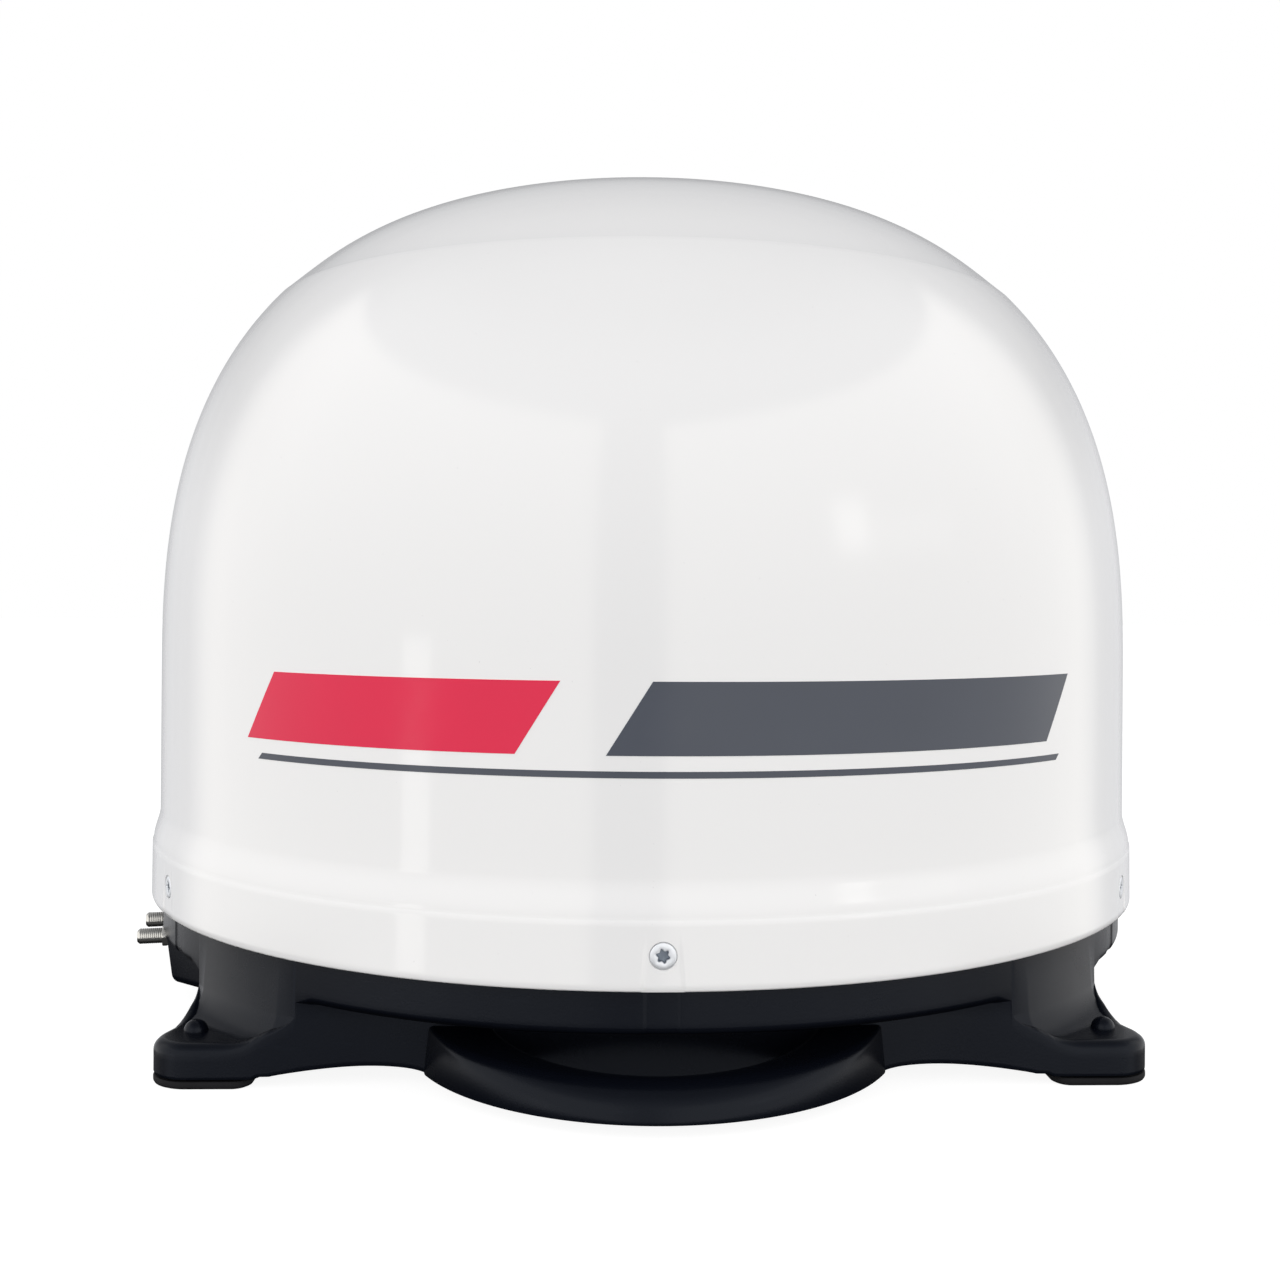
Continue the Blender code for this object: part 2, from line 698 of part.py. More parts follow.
def reflector_dish(material, parent):
    """A paraboloid shell with a folded rim, cut to an oval."""
    rings = 6
    hole = TUBE_R + GAP
    radii = [hole + (DISH_HALF_WIDTH + 0.01 - hole) * i / (rings - 1) for i in range(rings)]
    front = [(r, dish_height(r)) for r in radii]
    back = [(r, z - DISH_T) for r, z in reversed(front)]
    dish = turned("reflector_dish", front + back, steps=36)
    shape = Matrix.Diagonal((1, DISH_HALF_HEIGHT / DISH_HALF_WIDTH, 1, 1))
    combine(dish, cylinder("dish_oval", DISH_HALF_WIDTH, -0.5, 0.5, 48, shape), "INTERSECT")
    for x, y in bolt_places():
        cut(dish, cylinder("dish_hole", BOLT_R + GAP, -0.05, 0.05, 10, Matrix.Translation((x, y, 0))))
    return part(dish, material, parent)


def reflector_frame(material, parent):
    """A bar behind the dish with an ear at each end for the pivot bolts."""
    far = EAR_X + EAR_T
    bar = box("reflector_frame", (-far, -0.024, BAR_Z), (far, 0.024, BAR_Z + BAR_T))
    ear_outline = [(-0.020, BAR_Z + 0.0005), (0.020, BAR_Z + 0.0005)]
    ear_outline += arc(0.009, math.radians(-15), math.radians(195), 11)
    for side in (-1, 1):
        xs = sorted((side * (EAR_X + 0.0001), side * (far - 0.0001)))
        ear = plate("ear", ear_outline, xs[0], xs[1], ALONG_X)
        join(bar, ear)
    cut(bar, cylinder("ear_bore", PIN_HOLE_R, -1, 1, 24, ALONG_X))
    cut(bar, cylinder("tube_hole", TUBE_R + GAP, -0.05, 0, 24))
    for x, y in bolt_places():
        cut(bar, cylinder("bar_hole", BOLT_R + GAP, -0.05, 0, 10, Matrix.Translation((x, y, 0))))
    return part(bar, material, parent)


def dish_mount_ring(material, parent):
    low, high = BAR_Z + BAR_T + GAP, DISH_Z - DISH_T - GAP
    mount = ring("dish_mount_ring", 0.0225, TUBE_R + GAP, low, high)
    for x, y in bolt_places():
        cut(mount, cylinder("mount_hole", BOLT_R + GAP, -0.05, 0, 10, Matrix.Translation((x, y, 0))))
    return part(mount, material, parent)


def dish_bolt(number, x, y, metal, parent):
    place = Matrix.Translation((x, y, 0))
    under = BAR_Z - GAP
    bolt = cylinder(f"dish_bolt_{number}", 0.0030, under - 0.0020, under, 6, place)
    join(bolt, cylinder("bolt_shank", BOLT_R, under - 0.0010, DISH_Z + 0.003, 10, place))
    return part(bolt, metal, parent)


def sector_gear(material, parent):
    """The toothed sector on the left ear. Its middle tooth points straight down at rest."""
    down = math.pi + REST_ELEVATION
    step = TURN / SECTOR_TEETH
    teeth = range(-SECTOR_HALF_TEETH, SECTOR_HALF_TEETH + 1)
    points = [corner for i in teeth for corner in tooth(SECTOR_TEETH, down + i * step)]
    outline = [(r * math.cos(a), r * math.sin(a)) for r, a in points]
    outline += arc(0.012, down + math.radians(80), down + math.radians(280), 11)
    gear = plate("sector_gear", outline, -SECTOR_X - GEAR_FACE, -SECTOR_X, ALONG_X)
    cut(gear, cylinder("sector_bore", PIN_HOLE_R, -1, 1, 24, ALONG_X))
    for offset in (-20, 20):
        angle = down + math.radians(offset)
        place = ALONG_X @ Matrix.Translation((0.034 * math.cos(angle), 0.034 * math.sin(angle), 0))
        cut(gear, cylinder("sector_window", 0.008, -1, 1, 16, place))
    return part(gear, material, parent)


def feed_waveguide(metal, parent):
    return part(ring("feed_waveguide", TUBE_R, 0.0090, -0.0350, 0.0520), metal, parent)


def feed_cone(material, parent):
    profile = [(0.0240, 0.0650), (0.0110, 0.0523), (0.0050, 0.0523), (0.0180, 0.0650)]
    return part(turned("feed_cone", profile), material, parent)


def sub_reflector(metal, parent):
    profile = [(0.0, 0.0690), (0.0260, 0.0690), (0.0260, 0.0653), (0.0, 0.0665)]
    return part(turned("sub_reflector", profile, closed=False), metal, parent)


def lnb_body(material, parent):
    """The low-noise block behind the frame, with its coax outlet."""
    low = -0.0760
    body = box("lnb_body", (-0.018, -0.021, low), (0.018, 0.021, -0.0400))
    join(body, cylinder("lnb_neck", 0.0130, -0.0420, -0.0353, 24))
    outlet = Matrix.Translation((0, 0, -0.062)) @ Matrix.Rotation(TURN / 4, 4, "X")
    join(body, cylinder("lnb_outlet", 0.0045, 0.020, 0.031, 16, outlet))
    return part(body, material, parent)


def build_reflector(white, zinc, steel, cast, nylon, parent):
    reflector_dish(white, parent)
    reflector_frame(zinc, parent)
    dish_mount_ring(nylon, parent)
    for number, (x, y) in enumerate(bolt_places(), 1):
        dish_bolt(number, x, y, steel, parent)
    sector_gear(nylon, parent)
    feed_waveguide(cast, parent)
    feed_cone(nylon, parent)
    sub_reflector(cast, parent)
    lnb_body(cast, parent)
    low, high = EAR_X + EAR_T + 0.0004, UPRIGHT_X - 0.0005
    part(ring("pivot_spacer", 0.0075, PIN_HOLE_R, low, high, 24, ALONG_X), nylon, parent)


# ---- radome -------------------------------------------------------------------------------------------------


def dome_profile(inset, count):
    """Points of the dome from its top down to where the flare starts."""
    points = []
    for i in range(count):
        angle = TURN / 4 * (1 - i / (count - 1))
        across = (DOME_R - inset) * max(math.cos(angle), 0) ** DOME_POWERS[0]
        up = DOME_Z + (DOME_H - inset) * max(math.sin(angle), 0) ** DOME_POWERS[1]
        points.append((across if i else 0.0, up))
    return points


def flare_profile(inset):
    """The S-shaped flare and the straight skirt, downwards."""
    lip_z, flare_z = SKIRT_Z + LIP_H, SKIRT_Z + FLARE_H
    lip_r = SKIRT_R * 0.9975
    points = []
    for i in range(4):
        share = i / 3
        blend = share * share * (3 - 2 * share)
        points.append((DOME_R + (lip_r - DOME_R) * blend - inset, flare_z + (lip_z - flare_z) * share))
    return points + [(SKIRT_R - inset, lip_z - 0.0008), (SKIRT_R - inset, SKIRT_Z)]


def screw_cutters():
    """Countersunk holes for the skirt's screws."""
    cutters = []
    for angle in screw_angles():
        place = outward(angle, SKIRT_R, SCREW_Z)
        hole = cone("countersink", 0.0027, SCREW_HEAD_R + 0.0007, -0.0024, 0.0004, 20, place)
        cutters.append(join(hole, cylinder("clearance_hole", 0.0023, -0.0060, -0.0010, 16, place)))
    return cutters


def radome(material, parent):
    outer = dome_profile(0, 11) + flare_profile(0)
    inner = dome_profile(WALL, 8) + flare_profile(WALL)
    shell = turned("radome", outer + list(reversed(inner)), steps=40, closed=False)
    cut(shell, *screw_cutters())
    return part(shell, material, parent)


def radome_screw(number, angle, metal, parent):
    """A countersunk screw, its head flush with the skirt."""
    face = -0.0002
    profile = [
        (0.0, face - 0.0014),
        (0.0018, face - 0.0014),
        (0.0018, face),
        (SCREW_HEAD_R, face),
        (SCREW_SHANK_R, face - 0.0023),
        (SCREW_SHANK_R, -0.0155),
        (0.0, -0.0155),
    ]
    place = outward(angle, SKIRT_R, SCREW_Z)
    return part(turned(f"radome_screw_{number}", profile, 16, False, place), metal, parent)


def radome_nut(number, angle, metal, parent):
    place = outward(angle, RIM_R - WALL - GAP, SCREW_Z)
    nut = cylinder(f"radome_nut_{number}", 0.0040, -0.0028, 0, 6, place)
    return part(cut(nut, cylinder("nut_bore", SCREW_SHANK_R + GAP, -0.01, 0.01, 16, place)), metal, parent)


def build_radome(white, rubber, steel, parent):
    radome(white, parent)
    inner, low = RIM_R - WALL + GAP, RIM_TOP + 0.0004
    part(ring("skirt_gasket", RIM_R - GAP, inner, low, low + 0.0020, 36), rubber, parent)
    for number, angle in enumerate(screw_angles(), 1):
        radome_screw(number, angle, steel, parent)
        radome_nut(number, angle, steel, parent)


# ---- assembly -----------------------------------------------------------------------------------------------

clear_scene()
PARTS = new_collection("portable_dome_antenna")
CUTTERS = new_collection("cutters")

GLOSS_WHITE = new_material("gloss_white", (0.86, 0.87, 0.88), 0.12)
BLACK_PLASTIC = new_material("black_plastic", (0.018, 0.020, 0.026), 0.38)
BLACK_RUBBER = new_material("black_rubber", (0.012, 0.012, 0.013), 0.80)
NICKEL = new_material("nickel", (0.62, 0.60, 0.56), 0.25, 1.0)
STEEL = new_material("steel", (0.55, 0.56, 0.58), 0.32, 1.0)
ZINC_PLATE = new_material("zinc_plate", (0.60, 0.62, 0.64), 0.38, 1.0)
CAST_METAL = new_material("cast_metal", (0.48, 0.49, 0.50), 0.50, 1.0)
MOTOR_METAL = new_material("motor_metal", (0.20, 0.21, 0.22), 0.40, 1.0)
PAINTED_WHITE = new_material("painted_white", (0.74, 0.75, 0.76), 0.40)
NYLON = new_material("nylon", (0.80, 0.79, 0.74), 0.45)
BOARD_GREEN = new_material("board_green", (0.02, 0.16, 0.07), 0.40)
CABLE_BLACK = new_material("cable_black", (0.02, 0.02, 0.02), 0.50)

ASSEMBLY = axis_empty("assembly", (AXIS_X, AXIS_Y, 0))
azimuth_axis = axis_empty("azimuth_axis", (0, 0, 0), parent=ASSEMBLY)
azimuth_pinion_axis = axis_empty("azimuth_pinion_axis", (0, AZIMUTH_CENTRES, 0), parent=azimuth_axis)
elevation_axis = axis_empty(
    "elevation_axis", (0, 0, PIVOT_Z), (TURN / 4 - REST_ELEVATION, 0, 0), azimuth_axis
)
elevation_pinion_axis = axis_empty("elevation_pinion_axis", (0, 0, PINION_Z), parent=azimuth_axis)
radome_axis = axis_empty("radome_axis", (0, 0, 0), parent=ASSEMBLY)

build_base(BLACK_PLASTIC, BLACK_RUBBER, NICKEL, STEEL, BOARD_GREEN, CABLE_BLACK, NYLON)
build_turntable(ZINC_PLATE, STEEL, MOTOR_METAL, azimuth_axis)
azimuth_pinion(NYLON, azimuth_pinion_axis)
elevation_pinion(NYLON, elevation_pinion_axis)
build_reflector(PAINTED_WHITE, ZINC_PLATE, STEEL, CAST_METAL, NYLON, elevation_axis)
build_radome(GLOSS_WHITE, BLACK_RUBBER, STEEL, radome_axis)
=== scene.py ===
"""Looks of the portable dome antenna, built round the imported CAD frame.

Lengths marked as shares are shares of the skirt's outer radius, which is read from the frame. Heights marked
as shares are measured from the skirt's lower edge. All other lengths are in metres. Angles are in radians and
run anticlockwise from +X, seen from above.
"""

import json
import math

import bmesh
import bpy
from mathutils import Matrix, Vector


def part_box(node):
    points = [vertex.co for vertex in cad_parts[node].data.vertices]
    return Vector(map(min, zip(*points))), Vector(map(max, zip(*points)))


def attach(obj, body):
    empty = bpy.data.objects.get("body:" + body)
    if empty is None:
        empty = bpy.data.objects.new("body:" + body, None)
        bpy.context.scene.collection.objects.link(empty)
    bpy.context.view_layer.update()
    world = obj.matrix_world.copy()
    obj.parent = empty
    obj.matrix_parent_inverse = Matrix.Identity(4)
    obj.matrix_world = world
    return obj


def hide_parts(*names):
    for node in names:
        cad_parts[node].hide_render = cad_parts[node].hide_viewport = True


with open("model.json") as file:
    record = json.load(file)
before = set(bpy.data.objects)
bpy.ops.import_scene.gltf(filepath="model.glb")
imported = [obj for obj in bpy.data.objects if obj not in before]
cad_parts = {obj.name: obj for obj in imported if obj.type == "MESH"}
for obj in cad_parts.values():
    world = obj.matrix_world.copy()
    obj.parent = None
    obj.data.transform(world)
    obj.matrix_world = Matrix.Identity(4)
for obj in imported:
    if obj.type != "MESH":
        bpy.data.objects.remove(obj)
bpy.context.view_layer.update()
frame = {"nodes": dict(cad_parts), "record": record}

LOW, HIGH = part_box("radome")
R = (HIGH.x - LOW.x) / 2
AXIS = Vector(((LOW.x + HIGH.x) / 2, (LOW.y + HIGH.y) / 2, 0))
SKIRT_Z = LOW.z
WALL = 0.003
GAP = 0.0003
TURN = 2 * math.pi
MERGE = 0.000002  # points closer than this become one
NO_RADIUS = 0.0000001  # stands for a radius of 0, so that a ring keeps its directions
SMOOTH_ANGLE = 35  # degrees; flatter edges are shaded smooth

# Radome, in shares
DOME_R = 0.985
DOME_BASE = 0.430
DOME_H = 0.970
DOME_POWERS = (2 / 2.766, 2 / 2.571)
LIP_R = 0.9972
LIP_H = 0.106
FLARE_H = 0.165
CREASE_H = 1.165
CREASE_TURN = 0.105  # how far the cap turns away at the crease, in radians
CREASE_FADE = 0.11  # share of the cap over which it comes back
PAD_HALF = 0.026
SCREW_H = 0.053
SCREWS = 6
SCREW_HEAD_R = 0.0043  # metres, like the next two
RECESS_R = 0.0020
RECESS_DEPTH = 0.0018
SCREW_TURN = 0.26  # how far each screw is turned from the one before

# Printed stripes: the angles of their ends, and their lower and upper edges in shares
STRIPE_LEFT, RED_END, GREY_START, STRIPE_RIGHT = (math.radians(a) for a in (-131, -101, -93, -47))
BLOCK_HEIGHTS = (0.345, 0.455)
LINE_HEIGHTS = (0.312, 0.322)

# Base, in shares
RING_R = 0.979
RING_BOTTOM = -0.072
RING_ROUND = 0.014
LEG_STEP = 0.0014  # how far the legs stand proud of the ring
LEG_DRAFT = 0.009  # how far they lean out from LEG_DRAFT_TOP down to the foot
LEG_DRAFT_TOP = -0.020
FOOT_TOP = -0.139
SWEEP_R = 0.045
TUB_HALF = (0.785, 0.784)
FOOT_BULGE = (0.032, 0.010)
FOOT_CORNER = 0.065
FOOT_EDGE = 0.018
FOOT_IN = 0.649
FOOT_BOTTOM = -0.195
FOOT_BLEND = 0.012  # over which the lower edge comes down to the foot
WALL_BOTTOM = -0.1905
ARCH = 0.0125
ARCH_END = 0.62
ARCH_POWER = 0.8
BESIDE_HANDLE = 0.0025  # how much higher the lower edge is beside the handle
BEHIND_HANDLE = 0.017  # how far it dips behind the handle
RIM_TOP = 0.0926
FLOOR_TOP = -0.0417
FLOOR_LOW = -0.0556
SPINDLE_HOLE_R = 0.0417
HANDLE_HALF = 0.3755
HANDLE_REACH = 0.236
OPENING_HALF = 0.262
OPENING_REACH = 0.150
HANDLE_BOTTOM = -0.189
HANDLE_TOP = -0.111  # at its ends
HANDLE_FALL = 0.024  # how much lower the top is in the middle
HANDLE_DRAFT = 0.10
HANDLE_TUCK = 0.012  # how far its ends run into the wall
PAD_TOP = -0.198
PAD_CORNER = 0.030
PEG = (0.755, 0.714)
PEG_R, PEG_H = 0.0042, 0.0040  # metres

# Socket box, whose panel faces a little towards the handle
BOX_TURN = math.radians(10.8)
BOX_HALF = 0.111  # of the panel
BOX_BOTTOM = -0.175
BOX_LIMIT = 0.9775  # the panel's largest distance from the axis
BOX_EDGE = (0.0164, 0.01376)  # height and depth of the rounding below
PANEL = (0.971, -0.046, 0.1316)  # distance from the axis at a height, and its change per unit of height
SOCKET_H = -0.091
SOCKET_SIDE = 0.0158  # metres, like the rest of the sockets' sizes
SOCKET_TIP = 0.2211
SOCKET_R = 0.0032
SOCKET_END, THREAD_END = 0.0262, 0.0112  # depths behind the tip
SOCKET_BODY = 0.0159
SOCKET_WINDOW = ((-0.186, -0.020, 0.028), (-0.174, 0.020, 0.042))  # corners of the hole behind the box
THREADS = 12
THREAD_PITCH = 0.0008
THREAD_DEPTH = 0.00009
NUT_R = 0.0046
NUT_FACE = 0.2110
NUT_THICK = 0.0022

# Studio: azimuth is 0 towards the camera and positive to the right, elevation is 0 at the horizon
SCRIM_INNER_LEFT = 0.19
SCRIM_INNER_RIGHT = 0.03
SCRIM_OUTER = 2.25
SCRIM_TOP = 0.64
SCRIM_SLOPE = 0.09
SCRIM_LOW = -0.31
SCRIM_LIGHT = 0.64
ROOM_LIGHT = 0.85
BACK_LIGHT = 0.82
HIGH_BACK_LIGHT = 0.54
CEILING_LIGHT = 0.40
FLOOR_LIGHT = 0.10
ROOM_TINT = (0.965, 0.972, 1.0)
SCRIM_TINT = (1.0, 0.985, 0.965)
FAR_DIM = 0.30
LOW_SIDES_DIM = 0.85
PAPER_LIGHT = 0.90
KEY_POWER = 2.0

# Small lights that the dome mirrors: azimuth, half width, lowest and highest elevation, softness, strength
PATCHES = (
    (-0.90, 0.05, -0.24, 0.0, 0.015, 0.9),
    (0.79, 0.03, 0.24, 0.30, 0.08, 0.9),
    (1.0, 0.22, 0.21, 0.25, 0.06, 0.2),
)

# Camera, its distance and height in shares
CAMERA_TURN = math.radians(1.93)
CAMERA_ROLL = 0.007
CAMERA_DISTANCE = 3.1
CAMERA_H = 0.582
CAMERA_LENS = 40.34
CAMERA_SHIFT = (-0.0022, -0.0348)


# ---- mesh helpers ----------------------------------------------------------------------------


def new_object(name, bm, smooth_angle=SMOOTH_ANGLE):
    mesh = bpy.data.meshes.new(name)
    bm.normal_update()
    bm.to_mesh(mesh)
    bm.free()
    mesh.shade_smooth()
    mesh.set_sharp_from_angle(angle=math.radians(smooth_angle))
    ob = bpy.data.objects.new(name, mesh)
    bpy.context.scene.collection.objects.link(ob)
    return ob


def loft(name, rings, close_along=False, smooth_angle=SMOOTH_ANGLE):
    """Joins rings of points with quads. Ends that stay open are closed with a fan round their middle."""
    bm = bmesh.new()
    rows = [[bm.verts.new(p) for p in ring] for ring in rings]
    count = len(rows[0])
    along = range(len(rows) if close_along else len(rows) - 1)
    for i in along:
        first, second = rows[i], rows[(i + 1) % len(rows)]
        for j in range(count):
            k = (j + 1) % count
            bm.faces.new((first[j], first[k], second[k], second[j]))
    if not close_along:
        for row, flip in ((rows[0], True), (rows[-1], False)):
            middle = bm.verts.new(sum((v.co for v in row), Vector()) / count)
            for j in range(count):
                pair = (row[j], row[(j + 1) % count])
                bm.faces.new((middle, pair[1], pair[0]) if flip else (middle, pair[0], pair[1]))
    bmesh.ops.remove_doubles(bm, verts=bm.verts, dist=MERGE)
    bmesh.ops.dissolve_degenerate(bm, edges=bm.edges, dist=MERGE)
    bmesh.ops.recalc_face_normals(bm, faces=bm.faces)
    return new_object(name, bm, smooth_angle)


def polar(radius, angle, height):
    return Vector((radius * math.cos(angle), radius * math.sin(angle), height))


def turned_rings(profile, steps, reshape=None):
    """Rings of points from (radius, height) pairs. reshape moves a point, given its ring's number."""
    rings = []
    for number, (radius, height) in enumerate(profile):
        ring = [polar(max(radius, NO_RADIUS), TURN * i / steps, height) for i in range(steps)]
        rings.append([reshape(number, point) for point in ring] if reshape else ring)
    return rings


def lathe(name, profile, steps, place, smooth_angle=SMOOTH_ANGLE, reshape=None):
    """Turns a profile of (radius, height) points about z."""
    ob = loft(name, turned_rings(profile, steps, reshape), smooth_angle=smooth_angle)
    ob.data.transform(place)
    return ob


def at_axis(height=0.0):
    return Matrix.Translation(AXIS + Vector((0, 0, height)))


def outward(angle, radius, height):
    """A frame whose z points away from the dome's axis."""
    turned = Matrix.Rotation(angle, 4, "Z") @ Matrix.Translation((radius, 0, height))
    return at_axis() @ turned @ Matrix.Rotation(TURN / 4, 4, "Y")


def screw_angles():
    return [-TURN / 4 + TURN * i / SCREWS for i in range(SCREWS)]


def angle_steps(base_count, centres, half, extra):
    """Evenly spaced angles, with more of them round each centre."""
    angles = {round(TURN * i / base_count, 9) for i in range(base_count)}
    for centre in centres:
        for i in range(-extra, extra + 1):
            angles.add(round((centre + half * i / extra) % TURN, 9))
    return sorted(angles)


def smoothstep(low, high, value):
    share = min(max((value - low) / (high - low), 0), 1)
    return share * share * (3 - 2 * share)


def cut_all(ob, cutters):
    """Cuts the cutters from ob with one exact Boolean, and removes them."""
    bm = bmesh.new()
    for cutter in cutters:
        bm.from_mesh(cutter.data)
        bpy.data.objects.remove(cutter)
    tool = new_object("tool", bm)
    boolean = ob.modifiers.new("cut", "BOOLEAN")
    boolean.operation = "DIFFERENCE"
    boolean.object = tool
    boolean.solver = "EXACT"
    bpy.context.view_layer.update()
    seen = ob.evaluated_get(bpy.context.evaluated_depsgraph_get())
    mesh = bpy.data.meshes.new_from_object(seen)
    ob.modifiers.clear()
    ob.data = mesh
    mesh.shade_smooth()
    mesh.set_sharp_from_angle(angle=math.radians(SMOOTH_ANGLE))
    bpy.data.objects.remove(tool)


def box_cutter(low, high, place):
    bm = bmesh.new()
    bmesh.ops.create_cube(bm, size=1)
    low, high = Vector(low), Vector(high)
    bm.transform(place @ Matrix.Translation((low + high) / 2) @ Matrix.Diagonal((*(high - low), 1)))
    return new_object("box_cutter", bm)


def round_edges(ob, width, degrees):
    """Bevels the edges sharper than an angle."""
    bevel = ob.modifiers.new("edges", "BEVEL")
    bevel.width = width
    bevel.segments = 2
    bevel.limit_method = "ANGLE"
    bevel.angle_limit = math.radians(degrees)
    return bevel


def finish_piece(ob, body, material, slot, *replaced):
    """Gives a piece its material and its moving body, and hides the CAD nodes that it replaces. The slot is
    not used.
    """
    ob.data.materials.clear()
    ob.data.materials.append(material)
    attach(ob, body)
    if replaced:
        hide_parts(*replaced)


# ---- materials -------------------------------------------------------------------------------


def maths(tree, operation, first, second=0.0):
    """A node's output for an operation on two values, each a number or an output."""
    node = tree.nodes.new("ShaderNodeMath")
    node.operation = operation
    for socket, value in zip(node.inputs, (first, second)):
        if isinstance(value, float):
            socket.default_value = value
        else:
            tree.links.new(value, socket)
    return node.outputs[0]


def colour_mix(tree, share, first, second):
    """Mixes two colours by share. Each colour is a tuple or an output."""
    node = tree.nodes.new("ShaderNodeMix")
    node.data_type = "RGBA"
    tree.links.new(share, node.inputs["Factor"])
    sockets = [s for s in node.inputs if s.type == "RGBA"]
    for socket, colour in zip(sockets, (first, second)):
        if isinstance(colour, tuple):
            socket.default_value = (*colour, 1)
        else:
            tree.links.new(colour, socket)
    return next(s for s in node.outputs if s.type == "RGBA")


class Nodes:
    """A material with a Principled shader, and short calls for the nodes that feed it."""

    def __init__(self, name, colour, roughness, metallic=0.0, **inputs):
        self.material = bpy.data.materials.new(name)
        self.material.use_nodes = True
        self.tree = self.material.node_tree
        self.shader = self.tree.nodes["Principled BSDF"]
        self.set("Base Color", (*colour, 1))
        self.set("Roughness", roughness)
        self.set("Metallic", metallic)
        for key, value in inputs.items():
            self.set(key.replace("_", " "), value)
        coords = self.tree.nodes.new("ShaderNodeTexCoord")
        self.coords = coords.outputs["Object"]

    def set(self, name, value):
        self.shader.inputs[name].default_value = value

    def link(self, output, name):
        self.tree.links.new(output, self.shader.inputs[name])

    def stretched(self, scale):
        node = self.tree.nodes.new("ShaderNodeMapping")
        node.inputs["Scale"].default_value = scale
        self.tree.links.new(self.coords, node.inputs["Vector"])
        return node.outputs["Vector"]

    def noise(self, scale, detail=3.0, rough=0.5, vector=None):
        node = self.tree.nodes.new("ShaderNodeTexNoise")
        node.inputs["Scale"].default_value = scale
        node.inputs["Detail"].default_value = detail
        node.inputs["Roughness"].default_value = rough
        self.tree.links.new(vector or self.coords, node.inputs["Vector"])
        return node.outputs["Fac"]

    def cells(self, scale):
        node = self.tree.nodes.new("ShaderNodeTexVoronoi")
        node.inputs["Scale"].default_value = scale
        self.tree.links.new(self.coords, node.inputs["Vector"])
        return node.outputs["Color"]

    def edges(self):
        """Near 1 on outer edges, from the mesh's pointiness."""
        node = self.tree.nodes.new("ShaderNodeNewGeometry")
        return self.range(node.outputs["Pointiness"], 0.52, 0.60, 0, 1)

    def range(self, value, low, high, out_low, out_high):
        node = self.tree.nodes.new("ShaderNodeMapRange")
        node.inputs["From Min"].default_value = low
        node.inputs["From Max"].default_value = high
        node.inputs["To Min"].default_value = out_low
        node.inputs["To Max"].default_value = out_high
        self.tree.links.new(value, node.inputs["Value"])
        return node.outputs["Result"]

    def maths(self, operation, first, second):
        return maths(self.tree, operation, first, second)

    def mix(self, share, first, second):
        return colour_mix(self.tree, share, first, second)

    def bump(self, height, strength, distance):
        node = self.tree.nodes.new("ShaderNodeBump")
        node.inputs["Strength"].default_value = strength
        node.inputs["Distance"].default_value = distance
        self.tree.links.new(height, node.inputs["Height"])
        self.link(node.outputs["Normal"], "Normal")


def gloss_white():
    n = Nodes("gloss_white", (0.86, 0.86, 0.865), 0.10, Coat_Weight=0.8, Coat_Roughness=0.04, IOR=1.5)
    tone = n.mix(n.noise(7, 2), (0.850, 0.852, 0.858), (0.868, 0.870, 0.876))
    specks = n.range(n.noise(900, 1), 0.80, 0.84, 0, 0.35)
    n.link(n.mix(specks, tone, (0.50, 0.50, 0.52)), "Base Color")
    n.link(n.range(n.noise(18, 4), 0.3, 0.7, 0.08, 0.14), "Roughness")
    n.bump(n.noise(260, 2), 0.05, 0.0002)
    return n.material


def black_plastic():
    n = Nodes("black_plastic", (0.005, 0.006, 0.009), 0.26, IOR=1.45, Specular_IOR_Level=0.2)
    scuffs = n.range(n.noise(60, 6, 0.7, n.stretched((1, 1, 5))), 0.60, 0.78, 0, 0.5)
    worn = n.maths("MAXIMUM", scuffs, n.maths("MULTIPLY", n.edges(), 0.6))
    tone = n.mix(n.noise(9, 3), (0.0022, 0.0030, 0.0060), (0.0036, 0.0046, 0.0080))
    n.link(n.mix(worn, tone, (0.007, 0.009, 0.014)), "Base Color")
    n.set("Specular Tint", (0.80, 0.87, 1.0, 1))
    n.link(n.range(n.noise(25, 5, 0.6), 0.25, 0.75, 0.21, 0.31), "Roughness")
    n.bump(n.noise(1400, 3, 0.6), 0.16, 0.0002)
    return n.material


def rubber():
    n = Nodes("black_rubber", (0.008, 0.008, 0.009), 0.72, Specular_IOR_Level=0.15)
    n.link(n.mix(n.noise(80, 5, 0.7), (0.006, 0.006, 0.007), (0.014, 0.014, 0.016)), "Base Color")
    n.bump(n.noise(900, 4, 0.7), 0.30, 0.0003)
    return n.material


def metal(name, bright, dull, roughness, scale, metallic=1.0):
    """Plated or plain metal with dull patches and fine brushing."""
    n = Nodes(name, bright, roughness, metallic)
    n.link(n.mix(n.noise(scale, 5, 0.65), bright, dull), "Base Color")
    n.link(n.range(n.noise(scale * 2, 4), 0.3, 0.7, roughness * 0.8, roughness * 1.3), "Roughness")
    n.bump(n.noise(scale * 6, 3, 0.6, n.stretched((1, 1, 9))), 0.08, 0.0001)
    return n.material


def zinc_sheet():
    """Zinc plated steel with a faint spangle."""
    n = Nodes("zinc_sheet", (0.62, 0.64, 0.66), 0.36, 1.0)
    n.link(n.mix(n.cells(140), (0.50, 0.52, 0.55), (0.70, 0.72, 0.73)), "Base Color")
    n.link(n.range(n.cells(140), 0, 1, 0.28, 0.46), "Roughness")
    n.bump(n.noise(500, 3), 0.06, 0.0002)
    return n.material


def cast_metal():
    n = Nodes("cast_metal", (0.50, 0.51, 0.52), 0.48, 1.0)
    n.link(n.mix(n.noise(60, 5), (0.42, 0.43, 0.44), (0.56, 0.57, 0.58)), "Base Color")
    n.bump(n.noise(1100, 4, 0.7), 0.35, 0.0003)
    return n.material


